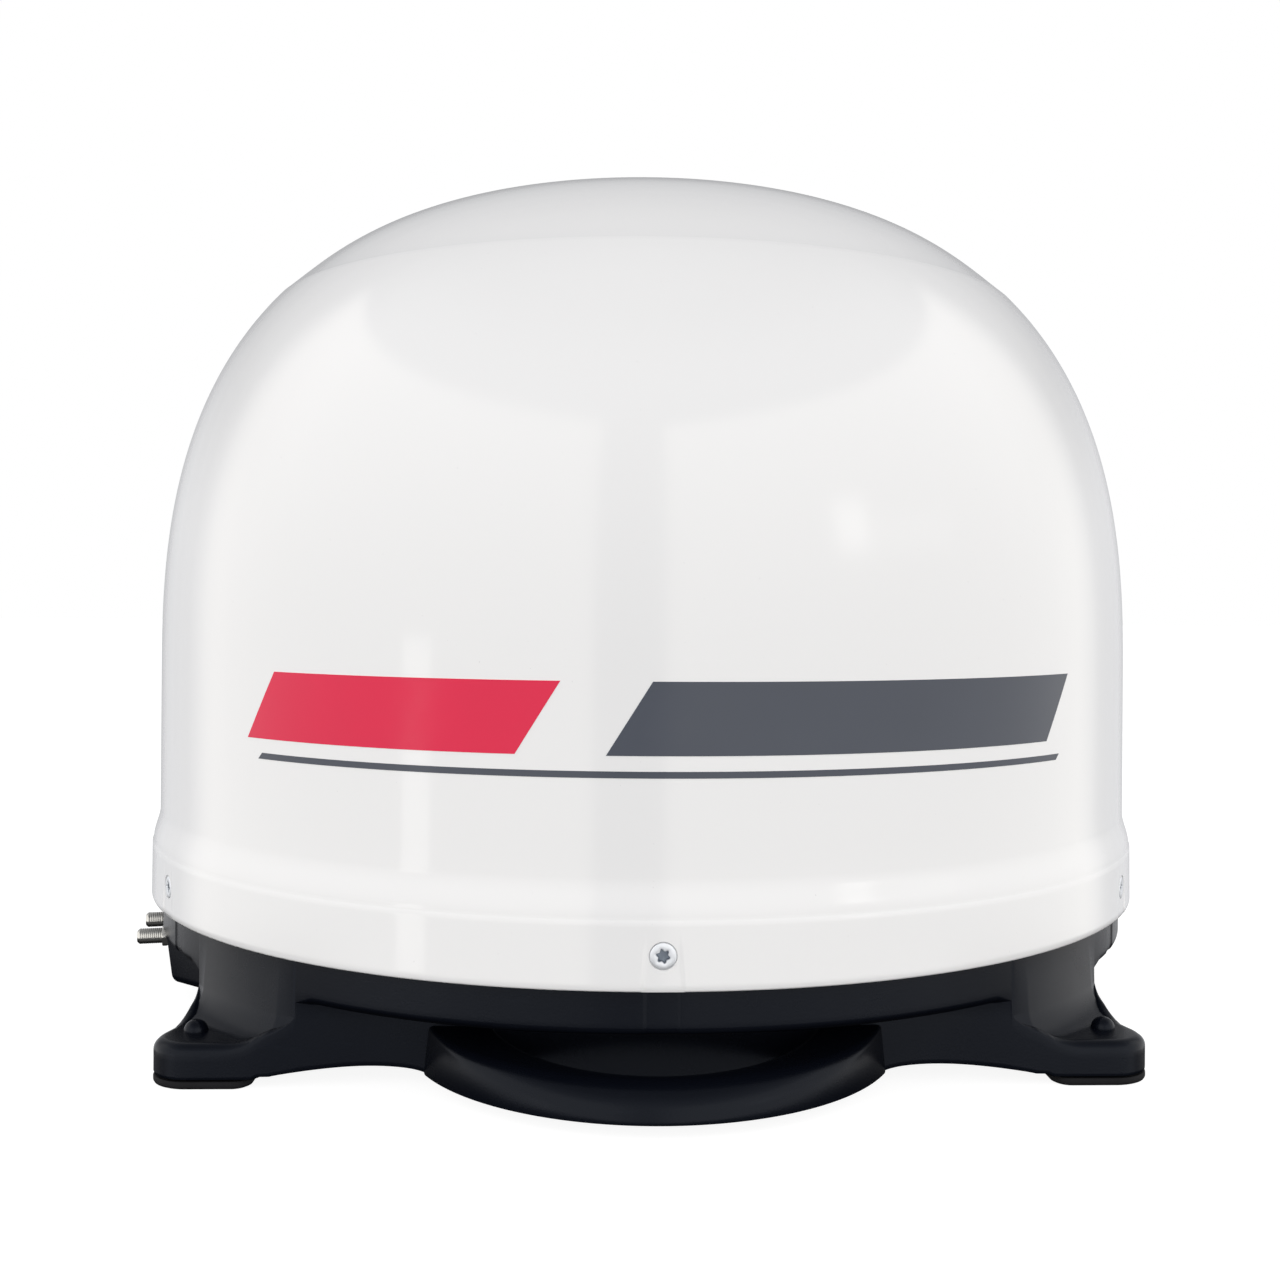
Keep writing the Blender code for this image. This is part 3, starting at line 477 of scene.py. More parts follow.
def motor_paint():
    n = Nodes("motor_paint", (0.035, 0.037, 0.040), 0.42, Coat_Weight=0.2)
    n.link(n.mix(n.edges(), (0.032, 0.034, 0.037), (0.16, 0.165, 0.17)), "Base Color")
    n.bump(n.noise(700, 3), 0.18, 0.0002)
    return n.material


def powder_coat():
    n = Nodes("powder_coat", (0.72, 0.73, 0.74), 0.42, Coat_Weight=0.15)
    n.link(n.mix(n.noise(12, 3), (0.70, 0.71, 0.72), (0.76, 0.77, 0.775)), "Base Color")
    n.bump(n.noise(1300, 2), 0.28, 0.0003)
    return n.material


def nylon():
    n = Nodes("nylon", (0.74, 0.73, 0.67), 0.44, Subsurface_Weight=0.08, Subsurface_Scale=0.002)
    n.link(n.mix(n.noise(40, 4), (0.70, 0.69, 0.62), (0.78, 0.77, 0.71)), "Base Color")
    n.bump(n.noise(600, 3), 0.12, 0.0002)
    return n.material


def circuit_board():
    """Green solder mask with paler tracks."""
    n = Nodes("circuit_board", (0.015, 0.12, 0.05), 0.30, Coat_Weight=0.4)
    tracks = n.range(n.noise(420, 0, 0.5, n.stretched((1, 0.12, 1))), 0.52, 0.54, 0, 0.6)
    n.link(n.mix(tracks, (0.012, 0.10, 0.042), (0.05, 0.22, 0.10)), "Base Color")
    n.bump(tracks, 0.3, 0.0002)
    return n.material


def cable_jacket():
    n = Nodes("cable_jacket", (0.018, 0.018, 0.019), 0.42)
    n.link(n.range(n.noise(200, 4), 0.3, 0.7, 0.34, 0.52), "Roughness")
    n.bump(n.noise(800, 3), 0.15, 0.0002)
    return n.material


def decal_ink(name, colour):
    """Printed vinyl."""
    n = Nodes(name, colour, 0.16, Specular_IOR_Level=0.3)
    darker = tuple(c * 0.9 for c in colour)
    n.link(n.mix(n.noise(30, 3), darker, colour), "Base Color")
    n.link(n.range(n.noise(120, 3), 0.3, 0.7, 0.12, 0.22), "Roughness")
    return n.material


def dielectric():
    n = Nodes("socket_insulator", (0.72, 0.72, 0.70), 0.4)
    n.link(n.mix(n.noise(300, 3), (0.66, 0.66, 0.64), (0.78, 0.78, 0.76)), "Base Color")
    return n.material


# ---- radome ----------------------------------------------------------------------------------


def dome_point(angle, inset=0.0):
    """(radius, height) in metres at a profile angle of 0 at the flare and a quarter turn at the top."""
    across = (DOME_R * R - inset) * max(math.cos(angle), 0) ** DOME_POWERS[0]
    up = DOME_BASE * R + (DOME_H * R - inset) * max(math.sin(angle), 0) ** DOME_POWERS[1]
    return across, up


def angle_at(height_share):
    return math.asin(((height_share - DOME_BASE) / DOME_H) ** (1 / DOME_POWERS[1]))


def dome_radius(height):
    """The dome's radius at a height in metres above the skirt, up to the crease."""
    if height <= DOME_BASE * R:
        return DOME_R * R
    return dome_point(angle_at(height / R))[0]


def cap_points(count):
    """The cap from the top down to the crease, a little flatter than the dome just above the crease."""
    start = angle_at(CREASE_H)
    points = []
    for i in range(count):
        share = (1 - i / (count - 1)) ** 1.6
        angle = start + (TURN / 4 - start) * share
        radius, height = dome_point(angle)
        near = dome_point(max(angle - 0.002, start))
        far = dome_point(min(angle + 0.002, TURN / 4))
        along = Vector((near[0] - far[0], near[1] - far[1])).normalized()
        depth = CREASE_TURN * R * 0.8 * share * math.exp(-share / CREASE_FADE)
        points.append((max(radius + along.y * depth, 0.0), height - along.x * depth))
    points[0] = (0.0, dome_point(TURN / 4)[1])
    return points


def side_points(count):
    """The dome below the crease, down to where it turns upright."""
    start = angle_at(CREASE_H)
    angles = [start * (1 - (i / count)) for i in range(1, count + 1)]
    return [dome_point(a) for a in angles]


def flare_points(inset=0.0):
    """Upright wall, S-shaped flare, lip line and skirt, downwards."""
    points = [(DOME_R * R - inset, R * h) for h in (0.37, 0.30, 0.24, 0.20)]
    steps = 14
    for i in range(steps + 1):
        share = i / steps
        height = (FLARE_H + (LIP_H - FLARE_H) * share) * R
        points.append(((DOME_R + (LIP_R - DOME_R) * smoothstep(0, 1, share)) * R - inset, height))
    points.append((LIP_R * R + 0.0001 - inset, (LIP_H - 0.0015) * R))
    points.append((R * 0.9992 - inset, (LIP_H - 0.0040) * R))
    for share in (0.9, 0.7, 0.5, 0.3, 0.12):
        points.append((R * (1.0 - 0.0008 * share) - inset, LIP_H * R * share))
    return points


def skirt_edge():
    """The rounded lower edge of the skirt, from outside to inside."""
    radius = 0.0009
    points = []
    for i in range(5):
        angle = TURN / 4 * i / 4
        points.append((R - radius + radius * math.cos(angle), radius - radius * math.sin(angle)))
    return points + [(R - WALL + 0.0003, 0.0), (R - WALL, 0.0006)]


def inner_points(count):
    """The inside of the shell, upwards from the skirt's edge."""
    dome = [dome_point(TURN / 4 * (i / count) ** 0.8, WALL) for i in range(count)]
    return flare_points(WALL)[::-1] + dome + [(0.0, dome_point(TURN / 4, WALL)[1])]


def screw_pad(angle, radius, height):
    """Sinks the skirt slightly below each screw, down to its lower edge."""
    for centre in screw_angles():
        away = abs((angle - centre + TURN / 2) % TURN - TURN / 2)
        half = PAD_HALF * (1 + 0.25 * (1 - height / (SCREW_H * R)))
        if away < 0.06 and radius > 0.99 * R and 0.0002 < height < SCREW_H * R * 1.2:
            side = 1 - smoothstep(half * 0.93, half * 1.05, away)
            top = 1 - smoothstep(SCREW_H * R * 0.9, SCREW_H * R * 1.1, height)
            return 0.00028 * side * top
    return 0.0


def radome_shell(material):
    """The hollow dome, sunk and bored for its screws."""
    outer = cap_points(46) + side_points(56) + flare_points() + skirt_edge()
    angles = angle_steps(240, screw_angles(), 0.040, 24)
    rings = []
    for index, (radius, height) in enumerate(outer + inner_points(30)):
        ring = []
        for angle in angles:
            sunk = screw_pad(angle, radius, height) if index < len(outer) else 0.0
            ring.append(polar(max(radius - sunk, NO_RADIUS), angle, height))
        rings.append(ring)
    shell = loft("radome_shell", rings, smooth_angle=30)
    shell.data.transform(at_axis(SKIRT_Z))
    holes = []
    for angle in screw_angles():
        place = outward(angle, R, SKIRT_Z + SCREW_H * R)
        sink = [(0.0, 0.0012), (0.0048, 0.0012), (0.0047, -0.0004), (0.0027, -0.0025)]
        sink += [(0.0026, -0.0060), (0.0, -0.0060)]
        holes.append(lathe("hole", sink, 40, place))
    cut_all(shell, holes)
    finish_piece(shell, "radome", material, "gloss_white", "radome")


def torx_screw(number, angle, bright, shade_metal):
    """A countersunk screw with a six-lobed recess, and a dark plug in the recess that paints its shade."""
    head, recess, depth = SCREW_HEAD_R, RECESS_R, RECESS_DEPTH
    recess_wall = (2, 3, 4)

    def lobes(point):
        swell = 1 + 0.17 * math.cos(6 * math.atan2(point.y, point.x))
        return Vector((point.x * swell, point.y * swell, point.z))

    def lobed_recess(index, point):
        return lobes(point) if index in recess_wall else point

    def lobed(index, point):
        return lobes(point)

    profile = [
        (0.0, -depth),
        (recess * 0.5, -depth + 0.0001),
        (recess * 0.93, -depth + 0.0003),
        (recess * 0.97, -0.0002),
        (recess * 1.04, 0.0),
        (recess * 1.4, 0.00008),
        (head - 0.0006, 0.00005),
        (head - 0.0001, -0.00008),
        (head, -0.0003),
        (0.0021, -0.0024),
        (0.0020, -0.0150),
        (0.0, -0.0154),
    ]
    place = outward(angle, R - GAP, SKIRT_Z + SCREW_H * R) @ Matrix.Rotation(SCREW_TURN * number, 4, "Z")
    screw = lathe(f"torx_screw_{number}", profile, 72, place, 40, lobed_recess)
    finish_piece(screw, "radome", bright, "steel", f"radome_screw_{number}")
    # A dark plug near the recess's bottom, which paints the shade inside the recess.
    plug_outline = [(0.0, -0.0012), (recess * 0.88, -0.0012), (recess * 0.90, -0.0005), (recess * 0.93, -0.0005)]
    plug_outline += [(recess * 0.93, -0.0014), (0.0, -0.0014)]
    shade_plug = lathe(f"torx_recess_shade_{number}", plug_outline, 72, place, 40, lobed)
    finish_piece(shade_plug, "radome", shade_metal, "steel")


def decal(name, ends, heights, slant, ink):
    """A thin printed stripe on the dome, between two angles and two heights, its ends slanted."""
    start, end = ends
    low, high = heights
    columns, rows = 90, 3
    rings = []
    for lift in (0.00012, -0.0001):
        grid = []
        for i in range(columns + 1):
            column = []
            for j in range(rows + 1):
                height = (low + (high - low) * j / rows) * R
                angle = start + (end - start) * i / columns + slant * (j / rows - 0.5)
                column.append(polar(dome_radius(height) + lift, angle, height))
            grid.append(column)
        rings.append(grid)
    front, back = rings
    loops = [front[i] + list(reversed(back[i])) for i in range(columns + 1)]
    stripe = loft(name, loops, smooth_angle=60)
    stripe.data.transform(at_axis(SKIRT_Z))
    finish_piece(stripe, "radome", ink, "gloss_white")


# ---- base ------------------------------------------------------------------------------------


def outline_depth(x, y):
    """How far a point lies outside the outline of the walls and feet, in shares."""
    x, y = abs(x), abs(y)
    inside_x = TUB_HALF[0] + FOOT_BULGE[0] * smoothstep(0.60, 0.76, y) - x
    inside_y = TUB_HALF[1] + FOOT_BULGE[1] * smoothstep(0.45, 0.66, x) - y
    return math.hypot(max(FOOT_CORNER - inside_x, 0), max(FOOT_CORNER - inside_y, 0)) - FOOT_CORNER


def outline(angle):
    """(radius, cosine between the radius and the outline's normal), in shares."""
    x, y = math.cos(angle), math.sin(angle)
    low, high = 0.7, 1.2
    for _ in range(40):
        radius = (low + high) / 2
        if outline_depth(radius * x, radius * y) > 0:
            high = radius
        else:
            low = radius
    step = 0.0005
    across = outline_depth(radius * x + step, radius * y) - outline_depth(radius * x - step, radius * y)
    along = outline_depth(radius * x, radius * y + step) - outline_depth(radius * x, radius * y - step)
    return radius, max((across * x + along * y) / max(math.hypot(across, along), 1e-9), 0.3)


def wall_bottom(angle, radius):
    """Height of the lower edge, in shares: a shallow arch between the feet, and beside the handle."""
    x, y = radius * math.cos(angle), radius * math.sin(angle)
    along = min(abs(x), abs(y))
    front = y < 0 and abs(y) > abs(x)
    if along > FOOT_IN - FOOT_BLEND:
        down = smoothstep(FOOT_IN - FOOT_BLEND, FOOT_IN, along)
        return WALL_BOTTOM + (FOOT_BOTTOM - WALL_BOTTOM) * down
    if front and along < HANDLE_HALF:
        dip = smoothstep(HANDLE_HALF - 0.01, HANDLE_HALF - 0.05, along)
        return WALL_BOTTOM + BESIDE_HANDLE - BEHIND_HANDLE * dip
    if front:
        share = min(max((along - HANDLE_HALF) / (ARCH_END - HANDLE_HALF), 0), 1)
        arch = math.sin(math.pi * share**0.74) ** ARCH_POWER
        return WALL_BOTTOM + BESIDE_HANDLE * (1 - share) + ARCH * arch
    return WALL_BOTTOM + ARCH * math.cos(TURN / 4 * min(along / ARCH_END, 1)) ** ARCH_POWER


def notch(angle):
    """How far the ring's wall sinks under a skirt screw, in shares."""
    away = min(abs((angle - c + TURN / 2) % TURN - TURN / 2) for c in screw_angles())
    return 0.002 * (1 - smoothstep(0.0240, 0.0275, away))


def arc_points(centre, size, start, end, count):
    """Points on an ellipse's arc; angles start at the outer side and turn upwards."""
    angles = [start + (end - start) * i / count for i in range(count + 1)]
    return [(centre[0] + size[0] * math.cos(a), centre[1] + size[1] * math.sin(a)) for a in angles]


def leg_points(ring, out, cosine):
    """The outer side of a leg, downwards: a lean, a sweep, the foot's top and the rounding of its edge."""
    span = out - ring
    edge = min(FOOT_EDGE / cosine, span * 0.55)
    draft = min(LEG_DRAFT, span * 0.3)
    sweep_top = FOOT_TOP + SWEEP_R

    def lean(height):
        return draft * (LEG_DRAFT_TOP - height) / (LEG_DRAFT_TOP - FOOT_TOP)

    def sweep(turn):
        height = sweep_top - SWEEP_R * math.sin(turn)
        return ring + lean(height) + SWEEP_R * (1 - math.cos(turn)), height

    last = TURN / 4
    while sweep(last)[0] > out - edge and last > 0:
        last -= 0.01
    last = max(last, 0)
    points = [(ring + lean(LEG_DRAFT_TOP - 0.03), LEG_DRAFT_TOP - 0.03)]
    points += [sweep(last * i / 12) for i in range(13)]
    reached, level = points[-1]
    flat_end = max(out - edge, reached)
    points += [(reached + (flat_end - reached) * i / 3, level) for i in (1, 2, 3)]
    size = (out - flat_end, edge * cosine)
    return points + arc_points((flat_end, level - edge * cosine), size, TURN / 4, 0, 8)[1:]


def shoulder_points(ring, out):
    """The outer side of the base where the ring overhangs the walls."""
    edge = min(RING_ROUND, (ring - out) * 0.5)
    inner = min(0.005, (ring - out) * 0.3)
    points = [(ring, (RING_BOTTOM - 0.03) / 2)]
    points += arc_points((ring - edge, RING_BOTTOM + edge), (edge, edge), 0, -TURN / 4, 12)
    left, right = ring - edge, out + inner
    points += [(left + (right - left) * i / 3, RING_BOTTOM) for i in (1, 2, 3)]
    for i in range(1, 9):
        turn = TURN / 4 * i / 8
        points.append((out + inner * (1 - math.sin(turn)), RING_BOTTOM - inner * (1 - math.cos(turn))))
    return points


def base_section(angle):
    """One loop of (radius, height) in shares through the base, at an angle."""
    out, cosine = outline(angle)
    proud = LEG_STEP * smoothstep(RING_R, RING_R + 0.003, out)
    ring = RING_R + proud - notch(angle)
    wall = WALL / R
    has_leg = out > ring + 0.0005
    points = [(ring - 0.003, RIM_TOP), (ring, RIM_TOP - 0.003), (ring, 0.02), (ring, LEG_DRAFT_TOP)]
    points += leg_points(ring, out, cosine) if has_leg else shoulder_points(ring, out)
    bottom = wall_bottom(angle, out)
    start = points[-1][1]
    for share in (0.25, 0.5, 0.75, 0.95):
        points.append((out, start + (bottom + 0.004 - start) * share))
    points += [(out, bottom + 0.003), (out - 0.001, bottom + 0.0008), (out - 0.003, bottom)]
    points.append((out - wall, bottom))
    inner = min(out, ring) - wall
    shelf = FOOT_TOP - wall if has_leg else FLOOR_LOW
    points += [(out - wall, shelf), (inner, shelf), (inner, FLOOR_LOW)]
    points += [(0.6, FLOOR_LOW), (0.3, FLOOR_LOW), (SPINDLE_HOLE_R, FLOOR_LOW)]
    points += [(SPINDLE_HOLE_R, FLOOR_TOP), (0.3, FLOOR_TOP), (0.6, FLOOR_TOP)]
    points += [(ring - wall - 0.004, FLOOR_TOP), (ring - wall, FLOOR_TOP + 0.004), (ring - wall, 0.03)]
    return points + [(ring - wall, RIM_TOP - 0.002), (ring - wall + 0.002, RIM_TOP)]


def base_moulding(material):
    """The ring, floor, walls and feet, as one moulding."""
    crossing = [math.atan2(TUB_HALF[1], math.sqrt(RING_R**2 - TUB_HALF[1] ** 2))]
    crossing.append(math.atan2(math.sqrt(RING_R**2 - TUB_HALF[0] ** 2), TUB_HALF[0]))
    dense = [s + d * c for c in crossing for s in (0, TURN / 2) for d in (1, -1)]
    angles = angle_steps(540, screw_angles(), 0.034, 16)
    angles = sorted(set(angles) | set(angle_steps(540, dense, 0.05, 24)))
    loops = []
    for angle in angles:
        loops.append([polar(r * R, angle, z * R) for r, z in base_section(angle)])
    moulding = loft("base_moulding", loops, close_along=True, smooth_angle=38)
    moulding.data.transform(at_axis(SKIRT_Z))
    half = 0.0028
    cutters = []
    for angle in screw_angles():  # slots, open upwards, that the screws slide out of with the radome
        place = at_axis(SKIRT_Z) @ Matrix.Rotation(angle, 4, "Z")
        low = (RING_R * R - 0.006, -half, SCREW_H * R - half)
        cutters.append(box_cutter(low, (RING_R * R + 0.002, half, 0.03), place))
    cutters.append(box_cutter(*SOCKET_WINDOW, box_frame()))
    cut_all(moulding, cutters)
    finish_piece(moulding, "base", material, "black_plastic", "base_chassis")


def arc_shape(half, reach):
    """(radius, centre y, half angle) of an arc that stands out from the front wall, in shares."""
    radius = (half**2 + reach**2) / (2 * reach)
    return radius, -TUB_HALF[1] - reach + radius, math.asin(half / radius)


def carry_handle(material):
    """A crescent bar whose rounded top grows flatter and crisper towards the wall."""
    outer_r, outer_y, outer_half = arc_shape(HANDLE_HALF, HANDLE_REACH)
    inner_r, inner_y, inner_half = arc_shape(OPENING_HALF, OPENING_REACH)
    count = 96
    loops = []
    for i in range(count + 1):
        share = 2 * i / count - 1
        a, b = outer_half * share, inner_half * share
        outside = Vector((outer_r * math.sin(a), outer_y - outer_r * math.cos(a), 0))
        inside = Vector((inner_r * math.sin(b), inner_y - inner_r * math.cos(b), 0))
        middle = 1 - share * share
        if i in (0, count):
            outside.y += HANDLE_TUCK
            inside.y += HANDLE_TUCK
        width = (inside - outside).length
        across = (inside - outside) / width
        top = HANDLE_TOP - HANDLE_FALL * middle**0.8
        outer_round = 0.006 + 0.040 * middle**1.5
        inner_round = 0.010 + 0.022 * middle
        section = [(0.003, HANDLE_BOTTOM), (0.0008, HANDLE_BOTTOM + 0.001), (0.0, HANDLE_BOTTOM + 0.003)]
        for k in range(13):
            t = TURN / 4 * k / 12
            height = top - outer_round * (1 - math.sin(t))
            lean = HANDLE_DRAFT * (height - HANDLE_BOTTOM)
            section.append((outer_round * (1 - math.cos(t)) + lean, height))
        for k in range(11):
            t = TURN / 4 * k / 10
            height = top - inner_round * (1 - math.cos(t))
            section.append((width - inner_round * (1 - math.sin(t)), height))
        section += [(width, HANDLE_BOTTOM + 0.004), (width - 0.003, HANDLE_BOTTOM)]
        loops.append([(outside + across * d + Vector((0, 0, z))) * R for d, z in section])
    handle = loft("carry_handle", loops, smooth_angle=40)
    handle.data.transform(at_axis(SKIRT_Z))
    finish_piece(handle, "base", material, "black_plastic")


def box_frame(side=0.0, height=0.0):
    """The frame of the socket box, in metres, whose -x is the panel's normal."""
    return at_axis(height) @ Matrix.Rotation(BOX_TURN, 4, "Z") @ Matrix.Translation((0, side, 0))


def socket_place(number, distance):
    """A frame on a socket's centre line whose z points outwards."""
    side = SOCKET_SIDE * (-1, 1)[number - 1]
    place = box_frame(side, SKIRT_Z + SOCKET_H * R)
    return place @ Matrix.Translation((-distance, 0, 0)) @ Matrix.Rotation(-TURN / 4, 4, "Y")


def socket_housing(material):
    """The box under the rim that carries the two sockets, with a leaning panel and a rounded lower edge."""
    high, deep = BOX_EDGE
    steps = [(-0.020, 0.0), (-0.060, 0.0), (-0.110, 0.0), (BOX_BOTTOM + high, 0.0)]
    for i in range(1, 9):
        t = TURN / 4 * i / 8
        steps.append((BOX_BOTTOM + high * (1 - math.sin(t)), deep * (1 - math.cos(t))))
    rings = []
    for height, inset in steps:
        face = min(PANEL[0] + PANEL[2] * (height - PANEL[1]) - inset, BOX_LIMIT)
        side = [(-face, BOX_HALF), (-0.900 + inset * 0.6, 0.175 - inset * 0.5)]
        side += [(-0.861, 0.2315 - inset), (-0.694, 0.250)]
        plan = side[::-1] + [(x, -y) for x, y in side]
        rings.append([Vector((x * R, y * R, height * R)) for x, y in plan])
    housing = loft("socket_housing", rings, smooth_angle=30)
    housing.data.transform(box_frame(0, SKIRT_Z))
    round_edges(housing, 0.0009, 25)
    finish_piece(housing, "base", material, "black_plastic")


def foot_pad(name, sign_x, sign_y, material, plastic):
    """A rubber pad under a foot, with the round tip of its push-in peg above."""
    far_x, far_y = TUB_HALF[0] + FOOT_BULGE[0], TUB_HALF[1] + FOOT_BULGE[1]
    middle = Vector((sign_x * (FOOT_IN + far_x) / 2, sign_y * (FOOT_IN + far_y) / 2, 0)) * R
    half = Vector((far_x - FOOT_IN, far_y - FOOT_IN, 0)) * R / 2
    top = SKIRT_Z + PAD_TOP * R
    outer, inner = FOOT_CORNER * R, PAD_CORNER * R
    steps = [(0.0012, 0.0), (0.0003, 0.0004), (0.0, 0.0010), (0.0, top - 0.0005), (0.0004, top)]
    rings = []
    for inset, height in steps:
        ring = []
        for corner in range(4):
            cx = 1 if corner in (0, 3) else -1
            cy = 1 if corner in (0, 1) else -1
            radius = outer if (cx == sign_x and cy == sign_y) else inner
            for i in range(13):
                angle = TURN / 4 * (corner + i / 12)
                x = middle.x + cx * (half.x - radius) + (radius - inset) * math.cos(angle)
                y = middle.y + cy * (half.y - radius) + (radius - inset) * math.sin(angle)
                ring.append(Vector((x, y, height)))
        rings.append(ring)
    pad = loft(f"rubber_pad_{name}", rings, smooth_angle=40)
    pad.data.transform(at_axis())
    finish_piece(pad, "base", material, "rubber", f"foot_pad_{name}")
    place = Vector((sign_x * PEG[0], sign_y * PEG[1], FOOT_TOP)) * R
    turns = [TURN / 4 * i / 10 for i in range(11)]
    dome = [(PEG_R * math.sin(t), PEG_H * math.cos(t)) for t in turns]
    profile = dome + [(PEG_R - 0.0001, -0.0012), (0.0, -0.0012)]
    tip = lathe(f"peg_tip_{name}", profile, 40, at_axis(SKIRT_Z) @ Matrix.Translation(place))
    finish_piece(tip, "base", plastic, "rubber")


def coax_socket(number, plating, insulator):
    """A threaded F-type socket with a chamfered end, its insulator and its inner body."""
    radius = SOCKET_R
    profile = [(0.0, -0.004), (0.0021, -0.004), (0.0021, -0.0001), (0.0023, 0.0)]
    profile += [(radius - 0.0008, 0.0), (radius - 0.0001, -0.0008)]
    root = radius - THREAD_DEPTH
    for i in range(THREADS):
        z = -0.0012 - i * THREAD_PITCH
        profile += [(radius, z), (radius, z - THREAD_PITCH * 0.3)]
        profile += [(root, z - THREAD_PITCH * 0.5), (root, z - THREAD_PITCH * 0.8)]
    chamfer = 0.0004
    profile += [(radius, -THREAD_END), (radius, -SOCKET_BODY)]
    profile += [(NUT_R - chamfer, -SOCKET_BODY), (NUT_R, -SOCKET_BODY - chamfer)]
    profile += [(NUT_R, chamfer - SOCKET_END), (NUT_R - chamfer, -SOCKET_END), (0.0, -SOCKET_END)]
    place = socket_place(number, SOCKET_TIP)
    body = lathe(f"socket_thread_{number}", profile, 48, place)
    finish_piece(body, "base", plating, "nickel", f"coax_socket_{number}")
    plug = [(0.0, -0.0022), (0.0005, -0.0022), (0.0007, -0.0012), (0.0019, -0.0012)]
    plug += [(0.0019, -0.0041), (0.0, -0.0041)]
    core = lathe(f"socket_insulator_{number}", plug, 32, place)
    finish_piece(core, "base", insulator, "nylon")


def hex_nut(number, plating):
    """A hex nut with chamfered corners."""
    bore = SOCKET_R + GAP

    def hexagon(index, point):
        if index in (0, 1, 6, 7):
            return point
        turn = math.atan2(point.y, point.x)
        flat = NUT_R * math.cos(TURN / 12) / math.cos((turn + TURN / 12) % (TURN / 6) - TURN / 12)
        radius = min(flat, NUT_R * (0.93 if index in (2, 5) else 1.0))
        return Vector((radius * math.cos(turn), radius * math.sin(turn), point.z))

    profile = [(bore, 0), (NUT_R * 0.82, 0), (NUT_R, 0), (NUT_R, -0.0004), (NUT_R, 0.0004 - NUT_THICK)]
    profile += [(NUT_R, -NUT_THICK), (NUT_R * 0.82, -NUT_THICK), (bore, -NUT_THICK)]
    nut = loft(f"hex_nut_{number}", turned_rings(profile, 72, hexagon), close_along=True, smooth_angle=25)
    nut.data.transform(socket_place(number, NUT_FACE))
    finish_piece(nut, "base", plating, "nickel", f"socket_nut_{number}")


# ---- inside ----------------------------------------------------------------------------------


def dress_node(name, material):
    """Gives a CAD node its material, smooth shading and fine rounded edges."""
    ob = frame["nodes"][name]
    ob.data.materials.clear()
    ob.data.materials.append(material)
    ob.data.shade_smooth()
    ob.data.set_sharp_from_angle(angle=math.radians(SMOOTH_ANGLE))
    weld = ob.modifiers.new("weld", "WELD")
    weld.merge_threshold = 0.00001
    bevel = round_edges(ob, 0.0003, 40)
    bevel.harden_normals = True


# ---- stage -----------------------------------------------------------------------------------


def floor():
    """White paper, bright enough to run into the background, with a faint shadow under the feet."""
    bm = bmesh.new()
    bmesh.ops.create_circle(bm, cap_ends=True, segments=96, radius=9)
    ob = new_object("floor", bm)
    n = Nodes("floor_paper", (0.30, 0.30, 0.30), 0.9, Emission_Color=(1, 1, 1, 1))
    n.set("Emission Strength", PAPER_LIGHT)
    n.set("Specular IOR Level", 0.0)
    ob.data.materials.append(n.material)
    ob.visible_glossy = False
    ob.visible_diffuse = False


class Sky:
    """Directions of the world as node outputs, and short calls for masks and lights over them."""

    def __init__(self, tree):
        self.tree = tree
        coords = tree.nodes.new("ShaderNodeTexCoord")
        split = tree.nodes.new("ShaderNodeSeparateXYZ")
        tree.links.new(coords.outputs["Generated"], split.inputs[0])
        x, self.y, z = split.outputs
        self.azimuth = self.maths("ARCTAN2", x, self.maths("MULTIPLY", self.y, -1.0))
        self.elevation = self.maths("ARCSINE", z)

    def maths(self, operation, first, second=0.0):
        return maths(self.tree, operation, first, second)

    def times(self, first, second):
        return self.maths("MULTIPLY", first, second)

    def plus(self, first, second):
        return self.maths("ADD", first, second)

    def minus(self, first, second):
        return self.maths("SUBTRACT", first, second)

    def ramp(self, value, low, high):
        """0 at low and 1 at high, with a smooth change between them."""
        node = self.tree.nodes.new("ShaderNodeMapRange")
        node.interpolation_type = "SMOOTHSTEP"
        node.inputs["From Min"].default_value = low
        node.inputs["From Max"].default_value = high
        self.tree.links.new(value, node.inputs["Value"])
        return node.outputs["Result"]

    def towards(self, light, target, mask):
        """Brings a light to the target where the mask is 1."""
        return self.minus(light, self.times(self.minus(light, target), mask))

    def dimmed(self, light, mask, loss):
        """Takes a share off a light where the mask is 1."""
        return self.times(light, self.minus(1.0, self.times(mask, loss)))

    def patch(self, centre, half, low, high, soft):
        """1 inside a patch given by its azimuth, half width and range of elevations."""
        away = self.maths("ABSOLUTE", self.minus(self.azimuth, centre))
        wide = self.ramp(away, half + soft, half)
        above = self.ramp(self.elevation, low - soft, low)
        below = self.ramp(self.elevation, high + soft, high)
        return self.times(wide, self.times(above, below))


def scrim_mask(sky):
    """1 on the two tall curved scrims, whose tops rise towards the back."""
    above_floor = sky.ramp(sky.elevation, SCRIM_LOW - 0.03, SCRIM_LOW + 0.03)
    masks = []
    for side, inner in ((-1.0, SCRIM_INNER_LEFT), (1.0, SCRIM_INNER_RIGHT)):
        turned = sky.times(sky.azimuth, side)
        start = sky.ramp(turned, inner, inner + 0.05)
        across = sky.times(start, sky.ramp(turned, SCRIM_OUTER, SCRIM_OUTER - 0.3))
        top = sky.plus(SCRIM_TOP, sky.times(turned, SCRIM_SLOPE))
        below = sky.ramp(sky.minus(top, sky.elevation), -0.01, 0.05)
        masks.append(sky.times(sky.times(across, below), above_floor))
    return sky.maths("MAXIMUM", *masks)


